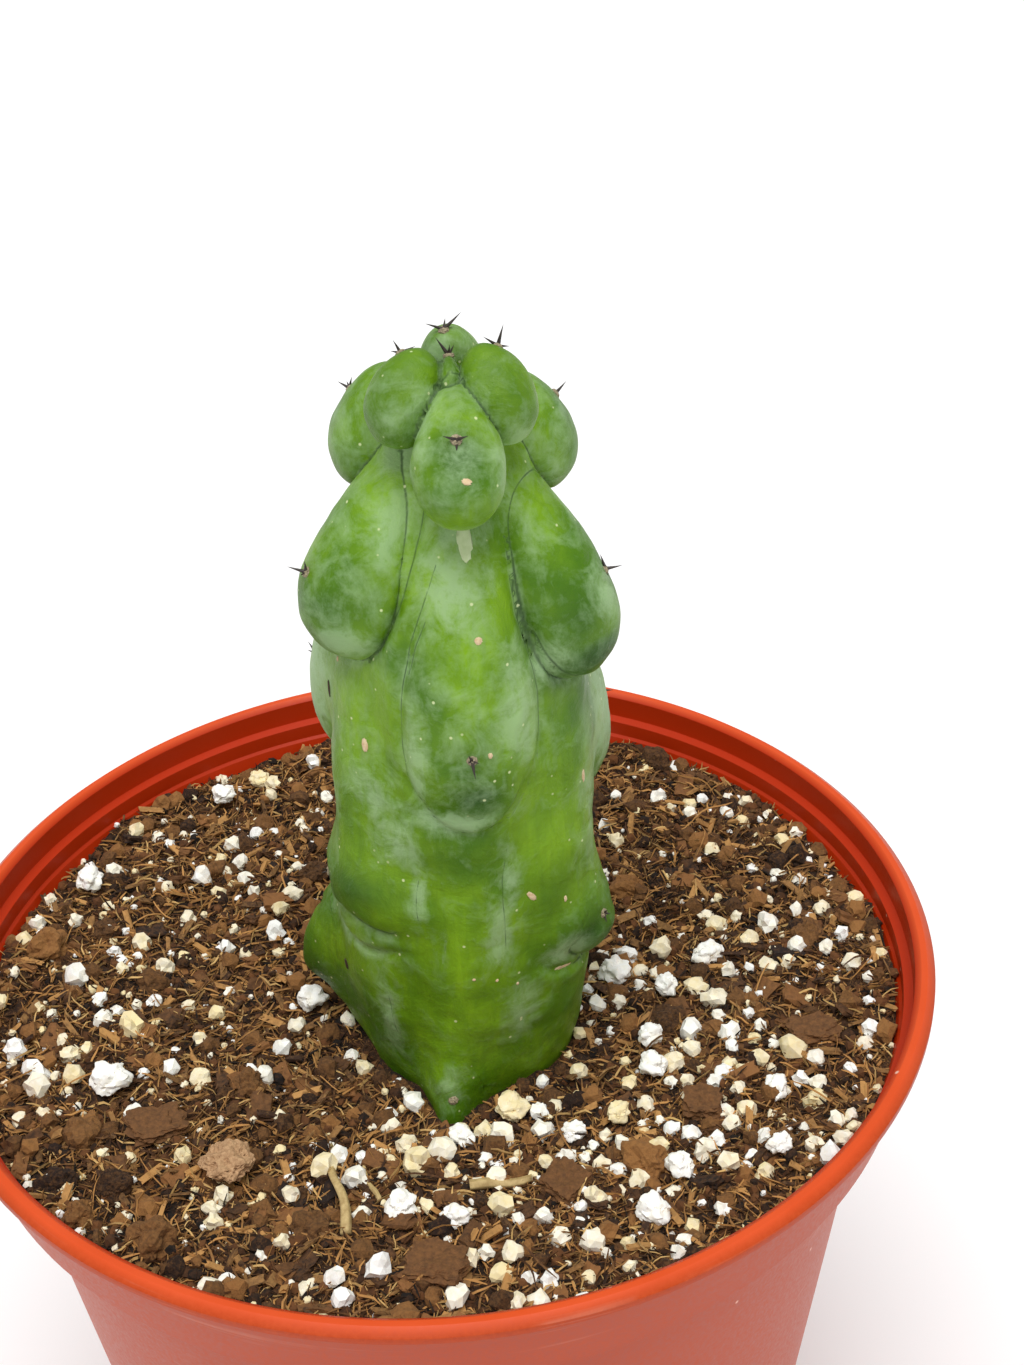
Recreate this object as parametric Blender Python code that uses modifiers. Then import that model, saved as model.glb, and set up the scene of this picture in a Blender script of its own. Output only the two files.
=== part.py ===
"""Monstrose blue myrtle cactus in a six-inch nursery pot.

The stem grew as one piece: a lumpy column whose six ribs have swollen into egg and pear
shapes, each with a felted cushion of short spines on it. It stands in a gritty potting mix
that fills a thin-walled plastic pot, with loose perlite, bark and sticks lying on the mix.

Metres, +Z up. The origin is the centre of the pot's base, and -Y is the front.
Azimuths are in degrees from the front, positive towards +X.
"""
import math
import random

import bmesh
import bpy
from mathutils import Matrix, Vector
from mathutils.bvhtree import BVHTree

MM = 0.001
GAP = 0.3 * MM

# Pot
POT_HEIGHT = 140.0 * MM
RIM_RADIUS = 76.0 * MM
RIM_THICKNESS = 2.0 * MM
COLLAR_RADIUS = 72.4 * MM
COLLAR_DEPTH = 14.8 * MM
COLLAR_TAPER = 1.2 * MM
BODY_TOP_RADIUS = 67.8 * MM
BASE_RADIUS = 51.6 * MM
WALL = 1.6 * MM
LEDGE_DEPTH = 4.5 * MM
SECOND_LEDGE_DEPTH = 7.5 * MM
LEDGE_STEP = 0.8 * MM
STEP_RISE = 1.0 * MM
FLOOR_THICKNESS = 1.8 * MM
DRAIN_HOLES = 8
DRAIN_HOLE_RADIUS = 4.5 * MM
DRAIN_CIRCLE = 37.0 * MM
POT_STEPS = 64

# Potting mix
MIX_DEPTH_AT_WALL = 9.0 * MM
MIX_DEPTH_AT_STEM = 12.0 * MM
MIX_RINGS = 8
MIX_STEPS = 32

# Stem
STEM_AXIS_FOOT = (5.3 * MM, -6.5 * MM)
STEM_LEAN = (0.0236, 0.0064)
STEM_VOXEL = 3.0 * MM
STEM_SMOOTHING = 2

# The ribbed column inside the lumps: height above the rim and radius.
COLUMN = [
    (-52.0, 7.5), (-46.0, 10.5), (-30.0, 13.0), (-16.0, 15.0), (-8.0, 16.6), (2.0, 18.0),
    (20.0, 19.0), (44.0, 18.6), (60.0, 16.8), (75.0, 13.5), (86.0, 9.5), (93.0, 5.5),
]

# Lumps: name, azimuth, height above the rim, distance from the axis, length, width, depth,
# outward tilt of the lower end in degrees, and taper (negative is fuller at the lower end).
LUMPS = [
    ("front_nose", -9, -11.0, 13.0, 36.0, 9.0, 15.5, 12, -0.15),
    ("low_left", -104, 3.0, 13.6, 28.0, 10.0, 17.0, 50, 0.05),
    ("low_right", 116, 5.5, 11.8, 19.0, 13.0, 18.0, 40, -0.30),
    ("low_back", 180, 8.0, 11.5, 30.0, 18.0, 20.0, 18, -0.25),
    ("hip_left", -60, 21.0, 11.0, 16.0, 22.0, 15.0, 15, -0.20),
    ("hip_right", 68, 13.0, 13.8, 15.0, 13.0, 16.0, 18, -0.25),
    ("waist_left", -113, 51.0, 12.0, 34.0, 17.0, 20.0, 8, -0.20),
    ("waist_right", 116, 42.0, 12.0, 34.0, 17.0, 20.0, 8, -0.20),
    ("waist_back", 180, 66.0, 11.0, 36.0, 18.0, 18.0, 16, -0.25),
    ("belly", 2, 59.0, 12.0, 48.0, 18.0, 17.5, 6, -0.30),
    ("breast_left", -62, 77.2, 10.3, 36.0, 14.5, 14.5, 24, -0.60),
    ("breast_right", 61, 74.4, 10.3, 39.0, 14.5, 14.5, 23, -0.60),
    ("shoulder_left", -112, 87.5, 10.3, 18.0, 14.0, 12.0, 22, -0.12),
    ("shoulder_right", 115, 85.5, 10.3, 18.0, 14.0, 12.0, 22, -0.12),
    ("crown_back", 180, 94.0, 5.5, 15.0, 10.0, 9.0, 30, -0.12),
    ("face", 1, 91.3, 13.5, 19.5, 11.8, 10.5, 44, -0.30),
    ("crown_nub", 0, 95.6, 7.0, 11.0, 3.6, 7.0, 44, 0.0),
    ("crown_left", -38, 95.8, 8.9, 13.0, 9.2, 9.5, 38, -0.06),
    ("crown_right", 40, 95.8, 9.1, 13.0, 9.2, 9.5, 38, -0.06),
]

# Spine clusters: name, azimuth, height above the rim, and spine length. Each sits where a
# ray from the axis at that azimuth and height, sloping up by the last angle, leaves the stem.
CLUSTERS = [
    ("crown_back", 180, 92.0, 3.6, 62),
    ("crown_nub", 0, 92.0, 2.6, 58),
    ("crown_left", -40, 92.0, 2.6, 52),
    ("crown_right", 42, 92.0, 2.8, 52),
    ("face", 2, 88.0, 2.2, 26),
    ("shoulder_left", -108, 87.0, 2.4, 22),
    ("shoulder_right", 110, 85.5, 2.4, 22),
    ("breast_left", -70, 68.0, 2.4, 4),
    ("breast_right", 70, 65.0, 2.4, 4),
    ("waist_back", 180, 63.0, 2.8, 4),
    ("waist_left", -116, 49.0, 2.4, 2),
    ("waist_right", 118, 40.0, 2.4, 2),
    ("belly", 1, 51.0, 2.2, 2),
    ("hip_left", -72, 18.0, 1.4, 0),
    ("hip_right", 76, 9.5, 1.4, 0),
    ("low_left", -106, -1.0, 1.2, -4),
    ("low_right", 118, 3.0, 1.2, -2),
    ("low_back", 180, 4.0, 2.0, 0),
]
PAD_RADIUS = 1.25 * MM
PAD_HEIGHT = 0.7 * MM
SPINES_PER_CLUSTER = 3

# Loose grains of perlite: x, y and widest size, in millimetres.
PERLITE = [
    (27.9, 0.8, 7.0), (42.6, 2.7, 6.0), (35.8, -3.2, 5.4), (32.3, -15.0, 5.4),
    (31.5, -22.0, 6.0), (10.8, -27.8, 6.4), (29.8, -50.0, 6.0), (-4.6, -47.8, 5.6),
    (19.8, -33.5, 4.6), (49.3, -28.4, 5.0), (-32.2, 55.0, 5.2), (-59.0, 27.0, 6.4),
    (-19.6, -2.5, 6.0), (-38.5, 50.0, 6.0), (-48.5, -21.4, 7.8), (33.9, -42.0, 5.2),
    (26.2, -31.0, 4.8), (3.4, -33.4, 4.8), (48.5, -39.5, 5.0), (2.8, -50.2, 5.0),
]

# Bark chips: x, y, length, width, thickness in millimetres and turn in degrees.
BARK_CHIPS = [
    (-40.0, -30.0, 8.0, 6.0, 3.0, 20), (0.0, -58.5, 9.0, 6.0, 3.0, -15),
    (17.8, -44.0, 7.0, 5.0, 3.0, 50), (38.4, -30.5, 6.0, 5.0, 2.8, 80),
    (56.7, -16.7, 8.0, 5.5, 3.0, 10),
]
# Sticks: name, x, y, length, radius in millimetres and turn in degrees.
STICKS = [
    ("straw_stick", -13.6, -43.0, 17.0, 0.75, 100),
    ("thin_twig", -9.2, -42.0, 7.0, 0.4, 110),
    ("wood_sliver", 8.9, -43.1, 8.0, 0.8, 6),
]
CLOD = (-29.4, -38.5, 10.0)


def empty_the_scene():
    for obj in list(bpy.data.objects):
        bpy.data.objects.remove(obj, do_unlink=True)


def collection(name):
    made = bpy.data.collections.new(name)
    bpy.context.scene.collection.children.link(made)
    return made


def material(name, colour, roughness):
    made = bpy.data.materials.new(name)
    made.use_nodes = True
    shader = made.node_tree.nodes["Principled BSDF"]
    shader.inputs["Base Color"].default_value = (*colour, 1.0)
    shader.inputs["Roughness"].default_value = roughness
    shader.inputs["Metallic"].default_value = 0.0
    return made


def add_object(name, mesh, where, finish=None):
    made = bpy.data.objects.new(name, mesh)
    where.objects.link(made)
    if finish:
        mesh.materials.append(finish)
    return made


def mesh_from(name, bm):
    mesh = bpy.data.meshes.new(name)
    bm.to_mesh(mesh)
    bm.free()
    return mesh


def evaluated_mesh(obj):
    graph = bpy.context.evaluated_depsgraph_get()
    graph.update()
    return bpy.data.meshes.new_from_object(obj.evaluated_get(graph))


def surface_of(obj):
    graph = bpy.context.evaluated_depsgraph_get()
    graph.update()
    return BVHTree.FromObject(obj, graph)


def profile_mesh(name, points):
    bm = bmesh.new()
    verts = [bm.verts.new((radius, 0.0, height)) for radius, height in points]
    for first, second in zip(verts, verts[1:]):
        bm.edges.new((first, second))
    mesh = bpy.data.meshes.new(name)
    bm.to_mesh(mesh)
    bm.free()
    return mesh


def turn(obj, steps):
    screw = obj.modifiers.new("turned", "SCREW")
    screw.steps = steps
    screw.render_steps = steps
    screw.use_merge_vertices = True
    screw.merge_threshold = 0.00002
    screw.use_smooth_shade = True
    return screw


def cut(obj, cutter):
    boolean = obj.modifiers.new("cut_" + cutter.name, "BOOLEAN")
    boolean.operation = "DIFFERENCE"
    boolean.solver = "EXACT"
    boolean.object = cutter
    cutter.hide_render = True
    cutter.display_type = "WIRE"


def body_radius(height):
    return BASE_RADIUS + (BODY_TOP_RADIUS - BASE_RADIUS) * height / (POT_HEIGHT - COLLAR_DEPTH)


def make_pot(where, cutters, finish):
    rim = POT_HEIGHT
    shoulder = rim - COLLAR_DEPTH
    inner = RIM_RADIUS - 3.5 * MM
    points = [
        (inner, rim - 0.4 * MM),
        (inner + 0.4 * MM, rim),
        (RIM_RADIUS - 1.2 * MM, rim),
        (RIM_RADIUS, rim - 1.0 * MM),
        (RIM_RADIUS, rim - RIM_THICKNESS),
        (COLLAR_RADIUS + WALL, rim - RIM_THICKNESS),
        (COLLAR_RADIUS + WALL - COLLAR_TAPER, shoulder + 1.0 * MM),
        (COLLAR_RADIUS + WALL - COLLAR_TAPER - 1.0 * MM, shoulder),
        (body_radius(shoulder), shoulder),
        (BASE_RADIUS + 0.2 * MM, 1.5 * MM),
        (BASE_RADIUS - 1.2 * MM, 0.0),
        (0.0, 0.0),
        (0.0, FLOOR_THICKNESS),
        (BASE_RADIUS - WALL - 1.0 * MM, FLOOR_THICKNESS),
        (body_radius(shoulder) - WALL, shoulder + STEP_RISE),
        (COLLAR_RADIUS - COLLAR_TAPER - LEDGE_STEP, shoulder + STEP_RISE + 1.2 * MM),
        (COLLAR_RADIUS - LEDGE_STEP - 0.5 * MM, rim - SECOND_LEDGE_DEPTH - 0.4 * MM),
        (COLLAR_RADIUS - LEDGE_STEP, rim - SECOND_LEDGE_DEPTH),
        (COLLAR_RADIUS - LEDGE_STEP, rim - LEDGE_DEPTH - 0.4 * MM),
        (inner, rim - LEDGE_DEPTH),
        (inner, rim - 0.4 * MM),
    ]
    pot = add_object("nursery_pot", profile_mesh("nursery_pot", points), where, finish)
    turn(pot, POT_STEPS)
    for hole in range(DRAIN_HOLES):
        angle = math.tau * (hole + 0.5) / DRAIN_HOLES
        bm = bmesh.new()
        bmesh.ops.create_cone(
            bm, cap_ends=True, segments=16, radius1=DRAIN_HOLE_RADIUS,
            radius2=DRAIN_HOLE_RADIUS, depth=FLOOR_THICKNESS * 3,
        )
        drill = add_object("drain_drill_%d" % hole, mesh_from("drain_drill", bm), cutters)
        drill.location = (DRAIN_CIRCLE * math.cos(angle), DRAIN_CIRCLE * math.sin(angle), 0.0)
        cut(pot, drill)
    return pot


def stem_axis(height):
    """The middle of the stem at a height above the rim."""
    rise = height - POT_HEIGHT + 12.0 * MM
    x = STEM_AXIS_FOOT[0] + STEM_LEAN[0] * rise
    y = STEM_AXIS_FOOT[1] + STEM_LEAN[1] * rise
    return Vector((x, y, height))


def outward(azimuth):
    angle = math.radians(azimuth)
    return Vector((math.sin(angle), -math.cos(angle), 0.0))


def lump_frame(azimuth, height, distance, tilt):
    """A lump's place: across, away from the stem, and along its length."""
    away = outward(azimuth)
    across = away.cross(Vector((0.0, 0.0, -1.0)))
    lean = math.radians(tilt)
    up = Vector((0.0, 0.0, 1.0))
    along = up * math.cos(lean) - away * math.sin(lean)
    face = away * math.cos(lean) + up * math.sin(lean)
    centre = stem_axis(POT_HEIGHT + height * MM) + away * distance * MM
    return Matrix((
        (across.x, face.x, along.x, centre.x),
        (across.y, face.y, along.y, centre.y),
        (across.z, face.z, along.z, centre.z),
        (0.0, 0.0, 0.0, 1.0),
    ))


def add_lump(bm, lump):
    _, azimuth, height, distance, length, width, depth, tilt, taper = lump
    place = lump_frame(azimuth, height, distance, tilt)
    made = bmesh.ops.create_uvsphere(bm, u_segments=24, v_segments=16, radius=1.0)
    for vert in made["verts"]:
        swell = 1.0 + taper * vert.co.z
        local = Vector((
            vert.co.x * width * swell, vert.co.y * depth * swell, vert.co.z * length,
        ))
        vert.co = place @ (local * 0.5 * MM)


def add_column(bm):
    verts = [
        bm.verts.new((radius * MM, 0.0, POT_HEIGHT + height * MM)) for height, radius in COLUMN
    ]
    foot = bm.verts.new((0.0, 0.0, verts[0].co.z))
    crown = bm.verts.new((0.0, 0.0, verts[-1].co.z + 2.0 * MM))
    chain = [foot] + verts + [crown]
    edges = [bm.edges.new(pair) for pair in zip(chain, chain[1:])]
    bmesh.ops.spin(
        bm, geom=chain + edges, cent=(0.0, 0.0, 0.0), axis=(0.0, 0.0, 1.0),
        angle=math.tau, steps=36, use_merge=True,
    )
    bmesh.ops.remove_doubles(bm, verts=bm.verts, dist=0.01 * MM)
    bmesh.ops.recalc_face_normals(bm, faces=bm.faces)
    for vert in bm.verts:
        middle = stem_axis(vert.co.z)
        vert.co.x += middle.x
        vert.co.y += middle.y


def make_stem(where, finish):
    bm = bmesh.new()
    add_column(bm)
    for lump in LUMPS:
        add_lump(bm, lump)
    stem = add_object("cactus_stem", mesh_from("cactus_stem", bm), where, finish)
    remesh = stem.modifiers.new("one_skin", "REMESH")
    remesh.mode = "VOXEL"
    remesh.voxel_size = STEM_VOXEL
    remesh.use_smooth_shade = True
    smooth = stem.modifiers.new("soften", "SMOOTH")
    smooth.factor = 0.5
    smooth.iterations = STEM_SMOOTHING
    return stem


def mix_height(x, y):
    """The top of the potting mix: lower round the stem, with long low waves."""
    middle = stem_axis(POT_HEIGHT)
    distance = math.hypot(x - middle.x, y - middle.y)
    share = min(1.0, max(0.0, (distance - 20.0 * MM) / (42.0 * MM)))
    depth = MIX_DEPTH_AT_STEM + (MIX_DEPTH_AT_WALL - MIX_DEPTH_AT_STEM) * share
    waves = math.sin(x * 95.0 + 1.3) * math.cos(y * 120.0 - 0.4) * 0.7 * MM
    return POT_HEIGHT - depth + waves


def make_potting_mix(where, cutters, stem, finish):
    floor = FLOOR_THICKNESS + GAP
    shoulder = POT_HEIGHT - COLLAR_DEPTH + STEP_RISE
    lower = body_radius(POT_HEIGHT - COLLAR_DEPTH) - WALL - GAP * 2
    top = POT_HEIGHT - MIX_DEPTH_AT_WALL
    rim = COLLAR_RADIUS - LEDGE_STEP - 0.9 * MM
    edge = [
        (rim, top),
        (COLLAR_RADIUS - COLLAR_TAPER - LEDGE_STEP - 0.5 * MM, shoulder + 2.4 * MM),
        (lower, shoulder + 0.4 * MM),
        (BASE_RADIUS - WALL - 1.6 * MM, floor),
        (0.0, floor),
    ]
    rings = [(rim * ring / MIX_RINGS, top) for ring in range(MIX_RINGS)]
    mix = add_object("potting_mix", profile_mesh("potting_mix", rings + edge), where, finish)
    turn(mix, MIX_STEPS)
    turned = evaluated_mesh(mix)
    mix.modifiers.clear()
    mix.data = turned
    for vert in turned.vertices:
        if vert.co.z > top - 0.01 * MM:
            vert.co.z = mix_height(vert.co.x, vert.co.y)
    pocket = add_object("stem_pocket", evaluated_mesh(stem), cutters)
    swell = pocket.modifiers.new("clearance", "DISPLACE")
    swell.mid_level = 0.0
    swell.strength = GAP * 1.3
    cut(mix, pocket)
    return mix


def spine_cluster(name, place, length, seed, where, finish):
    """A felt cushion with its spines, one closed piece."""
    draw = random.Random(seed)
    bm = bmesh.new()
    bmesh.ops.create_icosphere(bm, subdivisions=2, radius=PAD_RADIUS)
    faces = list(bm.faces)
    turn_start = draw.uniform(0.0, math.tau)
    tips = []
    for spine in range(SPINES_PER_CLUSTER):
        angle = turn_start + math.tau * spine / SPINES_PER_CLUSTER
        slope = math.radians(draw.uniform(38.0, 58.0))
        tips.append(Vector((
            math.cos(slope) * math.cos(angle), math.cos(slope) * math.sin(angle), math.sin(slope),
        )))
    for tip in tips:
        face = max(faces, key=lambda each: each.normal.dot(tip))
        faces.remove(face)
        poked = bmesh.ops.poke(bm, faces=[face])
        poked["verts"][0].co = tip * (PAD_RADIUS + length * draw.uniform(0.85, 1.1))
    for vert in bm.verts:
        if vert.co.length < PAD_RADIUS * 1.05:
            vert.co.z *= PAD_HEIGHT / PAD_RADIUS
    cluster = add_object(name, mesh_from(name, bm), where, finish)
    cluster.data.transform(place)
    return cluster


def make_spine_clusters(where, stem, finish):
    skin = surface_of(stem)
    for number, (name, azimuth, height, length, slope) in enumerate(CLUSTERS):
        away = outward(azimuth)
        angle = math.radians(slope)
        direction = away * math.cos(angle) + Vector((0.0, 0.0, math.sin(angle)))
        start = stem_axis(POT_HEIGHT + height * MM) + direction * 60.0 * MM
        spot, normal, _, _ = skin.ray_cast(start, -direction)
        seat = spot + normal * (PAD_HEIGHT + GAP)
        place = Matrix.Translation(seat) @ normal.to_track_quat("Z", "Y").to_matrix().to_4x4()
        spine_cluster("spines_" + name, place, length * MM, number, where, finish)


def settle(obj, ground, clearance=GAP + 0.1 * MM):
    """Lowers or lifts a loose piece until it just clears the potting mix."""
    above = Vector((0.0, 0.0, 30.0 * MM))
    down = Vector((0.0, 0.0, -1.0))
    gaps = []
    for vert in obj.data.vertices:
        spot, _, _, _ = ground.ray_cast(vert.co + above, down)
        if spot is not None:
            gaps.append(vert.co.z - spot.z)
    obj.data.transform(Matrix.Translation((0.0, 0.0, clearance - min(gaps))))


def lumpy_grain(name, x, y, size, flatness, seed, where, finish):
    """A broken grain: a rounded block with its corners knocked about."""
    draw = random.Random(seed)
    bm = bmesh.new()
    bmesh.ops.create_icosphere(bm, subdivisions=2, radius=size * 0.5)
    squash = Vector((1.0, draw.uniform(0.72, 0.9), flatness))
    knocks = [Vector([draw.uniform(-1.0, 1.0) for _ in range(3)]).normalized() for _ in range(5)]
    for vert in bm.verts:
        facing = vert.co.normalized()
        dent = sum(max(0.0, facing.dot(knock) - 0.55) for knock in knocks)
        vert.co *= 1.0 - 0.45 * min(0.8, dent)
        vert.co = Vector((vert.co.x * squash.x, vert.co.y * squash.y, vert.co.z * squash.z))
    grain = add_object(name, mesh_from(name, bm), where, finish)
    turned = Matrix.Rotation(draw.uniform(0.0, math.tau), 4, "Z")
    grain.data.transform(Matrix.Translation((x, y, mix_height(x, y) + size)) @ turned)
    return grain


def make_perlite(where, ground, finish):
    for number, (x, y, size) in enumerate(PERLITE, 1):
        name = "perlite_grain_%02d" % number
        grain = lumpy_grain(name, x * MM, y * MM, size * MM, 0.7, number + 40, where, finish)
        settle(grain, ground)


def make_clod(where, ground, finish):
    x, y, size = CLOD
    clod = lumpy_grain("clay_clod", x * MM, y * MM, size * MM, 0.55, 7, where, finish)
    settle(clod, ground)


def make_bark_chips(where, ground, finish):
    for number, (x, y, length, width, thickness, angle) in enumerate(BARK_CHIPS, 1):
        bm = bmesh.new()
        bmesh.ops.create_cube(bm, size=1.0)
        bmesh.ops.subdivide_edges(bm, edges=bm.edges[:], cuts=1, use_grid_fill=True)
        draw = random.Random(number + 90)
        for vert in bm.verts:
            jitter = draw.uniform(0.8, 1.05)
            vert.co.x *= length * MM * jitter
            vert.co.y *= width * MM * jitter
            vert.co.z *= thickness * MM * draw.uniform(0.75, 1.0)
        chip = add_object("bark_chip_%d" % number, mesh_from("bark_chip", bm), where, finish)
        spot = Matrix.Translation((x * MM, y * MM, POT_HEIGHT))
        chip.data.transform(spot @ Matrix.Rotation(math.radians(angle), 4, "Z"))
        settle(chip, ground)


def make_sticks(where, ground, finish):
    for name, x, y, length, radius, angle in STICKS:
        bm = bmesh.new()
        bmesh.ops.create_cone(
            bm, cap_ends=True, segments=8, radius1=radius * MM,
            radius2=radius * 0.7 * MM, depth=length * MM,
        )
        stick = add_object(name, mesh_from(name, bm), where, finish)
        laid = Matrix.Rotation(math.radians(angle), 4, "Z") @ Matrix.Rotation(math.radians(90), 4, "Y")
        stick.data.transform(Matrix.Translation((x * MM, y * MM, POT_HEIGHT)) @ laid)
        settle(stick, ground)


def main():
    empty_the_scene()
    parts = collection("potted_blue_myrtle_cactus")
    cutters = collection("cutters")
    terracotta = material("terracotta_plastic", (0.62, 0.13, 0.06), 0.45)
    green = material("cactus_skin", (0.10, 0.25, 0.06), 0.42)
    felt = material("dark_spines", (0.05, 0.04, 0.035), 0.6)
    peat = material("peat_mix", (0.07, 0.035, 0.018), 0.95)
    white = material("perlite", (0.80, 0.77, 0.68), 0.9)
    bark = material("bark", (0.11, 0.05, 0.025), 0.9)
    wood = material("dry_wood", (0.42, 0.26, 0.11), 0.8)
    clay = material("clay", (0.26, 0.15, 0.08), 0.95)
    make_pot(parts, cutters, terracotta)
    stem = make_stem(parts, green)
    mix = make_potting_mix(parts, cutters, stem, peat)
    make_spine_clusters(parts, stem, felt)
    ground = surface_of(mix)
    make_perlite(parts, ground, white)
    make_clod(parts, ground, clay)
    make_bark_chips(parts, ground, bark)
    make_sticks(parts, ground, wood)


main()
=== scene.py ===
"""The visible potted cactus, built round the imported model.

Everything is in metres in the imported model's own frame: the origin is the middle of the pot's
base, +Z is up and -Y is the front. The stem's shape is worked out in millimetres.
"""
import math
import random

import bpy
import numpy as np
from mathutils import Euler, Matrix, Vector, noise
from mathutils.bvhtree import BVHTree


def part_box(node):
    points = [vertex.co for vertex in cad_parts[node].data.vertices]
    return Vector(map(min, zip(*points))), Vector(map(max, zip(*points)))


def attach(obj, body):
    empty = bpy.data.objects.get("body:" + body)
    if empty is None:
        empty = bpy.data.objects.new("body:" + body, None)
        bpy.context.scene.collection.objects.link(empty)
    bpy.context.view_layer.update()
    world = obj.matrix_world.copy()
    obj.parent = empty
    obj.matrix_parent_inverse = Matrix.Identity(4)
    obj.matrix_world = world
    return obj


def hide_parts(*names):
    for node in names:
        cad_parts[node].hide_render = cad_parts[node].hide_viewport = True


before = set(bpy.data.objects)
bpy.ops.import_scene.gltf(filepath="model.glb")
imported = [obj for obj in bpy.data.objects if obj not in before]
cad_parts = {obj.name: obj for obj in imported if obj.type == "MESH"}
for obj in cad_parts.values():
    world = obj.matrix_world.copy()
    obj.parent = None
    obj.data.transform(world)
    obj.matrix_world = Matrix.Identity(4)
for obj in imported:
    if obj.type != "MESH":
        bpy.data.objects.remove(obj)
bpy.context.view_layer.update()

MM = 0.001
UP = Vector((0.0, 0.0, 1.0))

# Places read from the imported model
_, POT_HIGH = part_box("nursery_pot")
RIM_Z = POT_HIGH.z
RIM_RADIUS = POT_HIGH.x
MIX_LOW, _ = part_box("potting_mix")

# Camera: where it stands, how far it looks down, its turn about its own axis, and its lens
CAMERA_PLACE = (0.0138, -0.2398, RIM_Z + 0.1981)
CAMERA_DOWN = 32.5
CAMERA_ROLL = -2.65
CAMERA_LENS = 52.75

# Light: a very broad soft source overhead, over a white floor under a white sky
LAMP_STRENGTH = 2.6
LAMP_SPREAD = 45.0
LAMP_AIM = Vector((0.02, 0.30, -1.0))
SKY_STRENGTH = 0.42
FLOOR_SIZE = 8.0

# Pot, in metres. Radii are measured from the pot's axis and depths from the rim's top.
LIP_WIDTH = 3.0 * MM
LIP_DEPTH = 2.0 * MM
COLLAR_RADIUS = 72.4 * MM
COLLAR_DEPTH = 14.8 * MM
COLLAR_TAPER = 1.9 * MM
BODY_TOP_RADIUS = 67.8 * MM
BASE_RADIUS = 51.6 * MM
WALL = 1.6 * MM
LEDGE_DEPTH = 4.5 * MM
SECOND_LEDGE_DEPTH = 7.5 * MM
LEDGE_STEP = 0.8 * MM
STEP_RISE = 1.0 * MM
FLOOR_THICKNESS = 1.8 * MM
EDGE_BEVEL = 0.22 * MM
DRAIN_HOLES = 8
DRAIN_HOLE_RADIUS = 4.5 * MM
DRAIN_CIRCLE = 37.0 * MM
POT_SIDES = 192
SHOULDER_Z = RIM_Z - COLLAR_DEPTH

# Potting mix: how far its top lies below the rim by the wall and by the stem, how far from the
# stem's middle the slope between them starts, how wide that slope is, and its long waves
MIX_EDGE_DEPTH = 9.0 * MM
MIX_FOOT_DEPTH = 12.0 * MM
SLOPE_START = 20.0 * MM
SLOPE_WIDTH = 42.0 * MM
MIX_WAVES = 0.7 * MM
MIX_RING_STEP = 0.75 * MM
MIX_SIDES = 400

# Stem, in millimetres above the rim
AXIS_FOOT = (5.3, -6.5)
AXIS_LEAN = (0.0236, 0.0064)
AXIS_START = -12.0
STEM_VOXEL = 0.52
SCULPT_STEPS = 9
SMOOTHED_STEPS = (1, 3, 5)
BROAD_WAVE, FINE_WAVE = (8.0, 0.40), (2.6, 0.14)
CUSHION_DENT = 0.25

# The column inside the lumps: height and radius
COLUMN = [
    (-52.0, 7.5), (-46.0, 10.5), (-30.0, 13.0), (-16.0, 15.0), (-8.0, 16.6), (2.0, 18.0),
    (20.0, 19.0), (44.0, 18.6), (60.0, 16.8), (75.0, 13.5), (86.0, 9.5), (93.0, 5.5),
]

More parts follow.
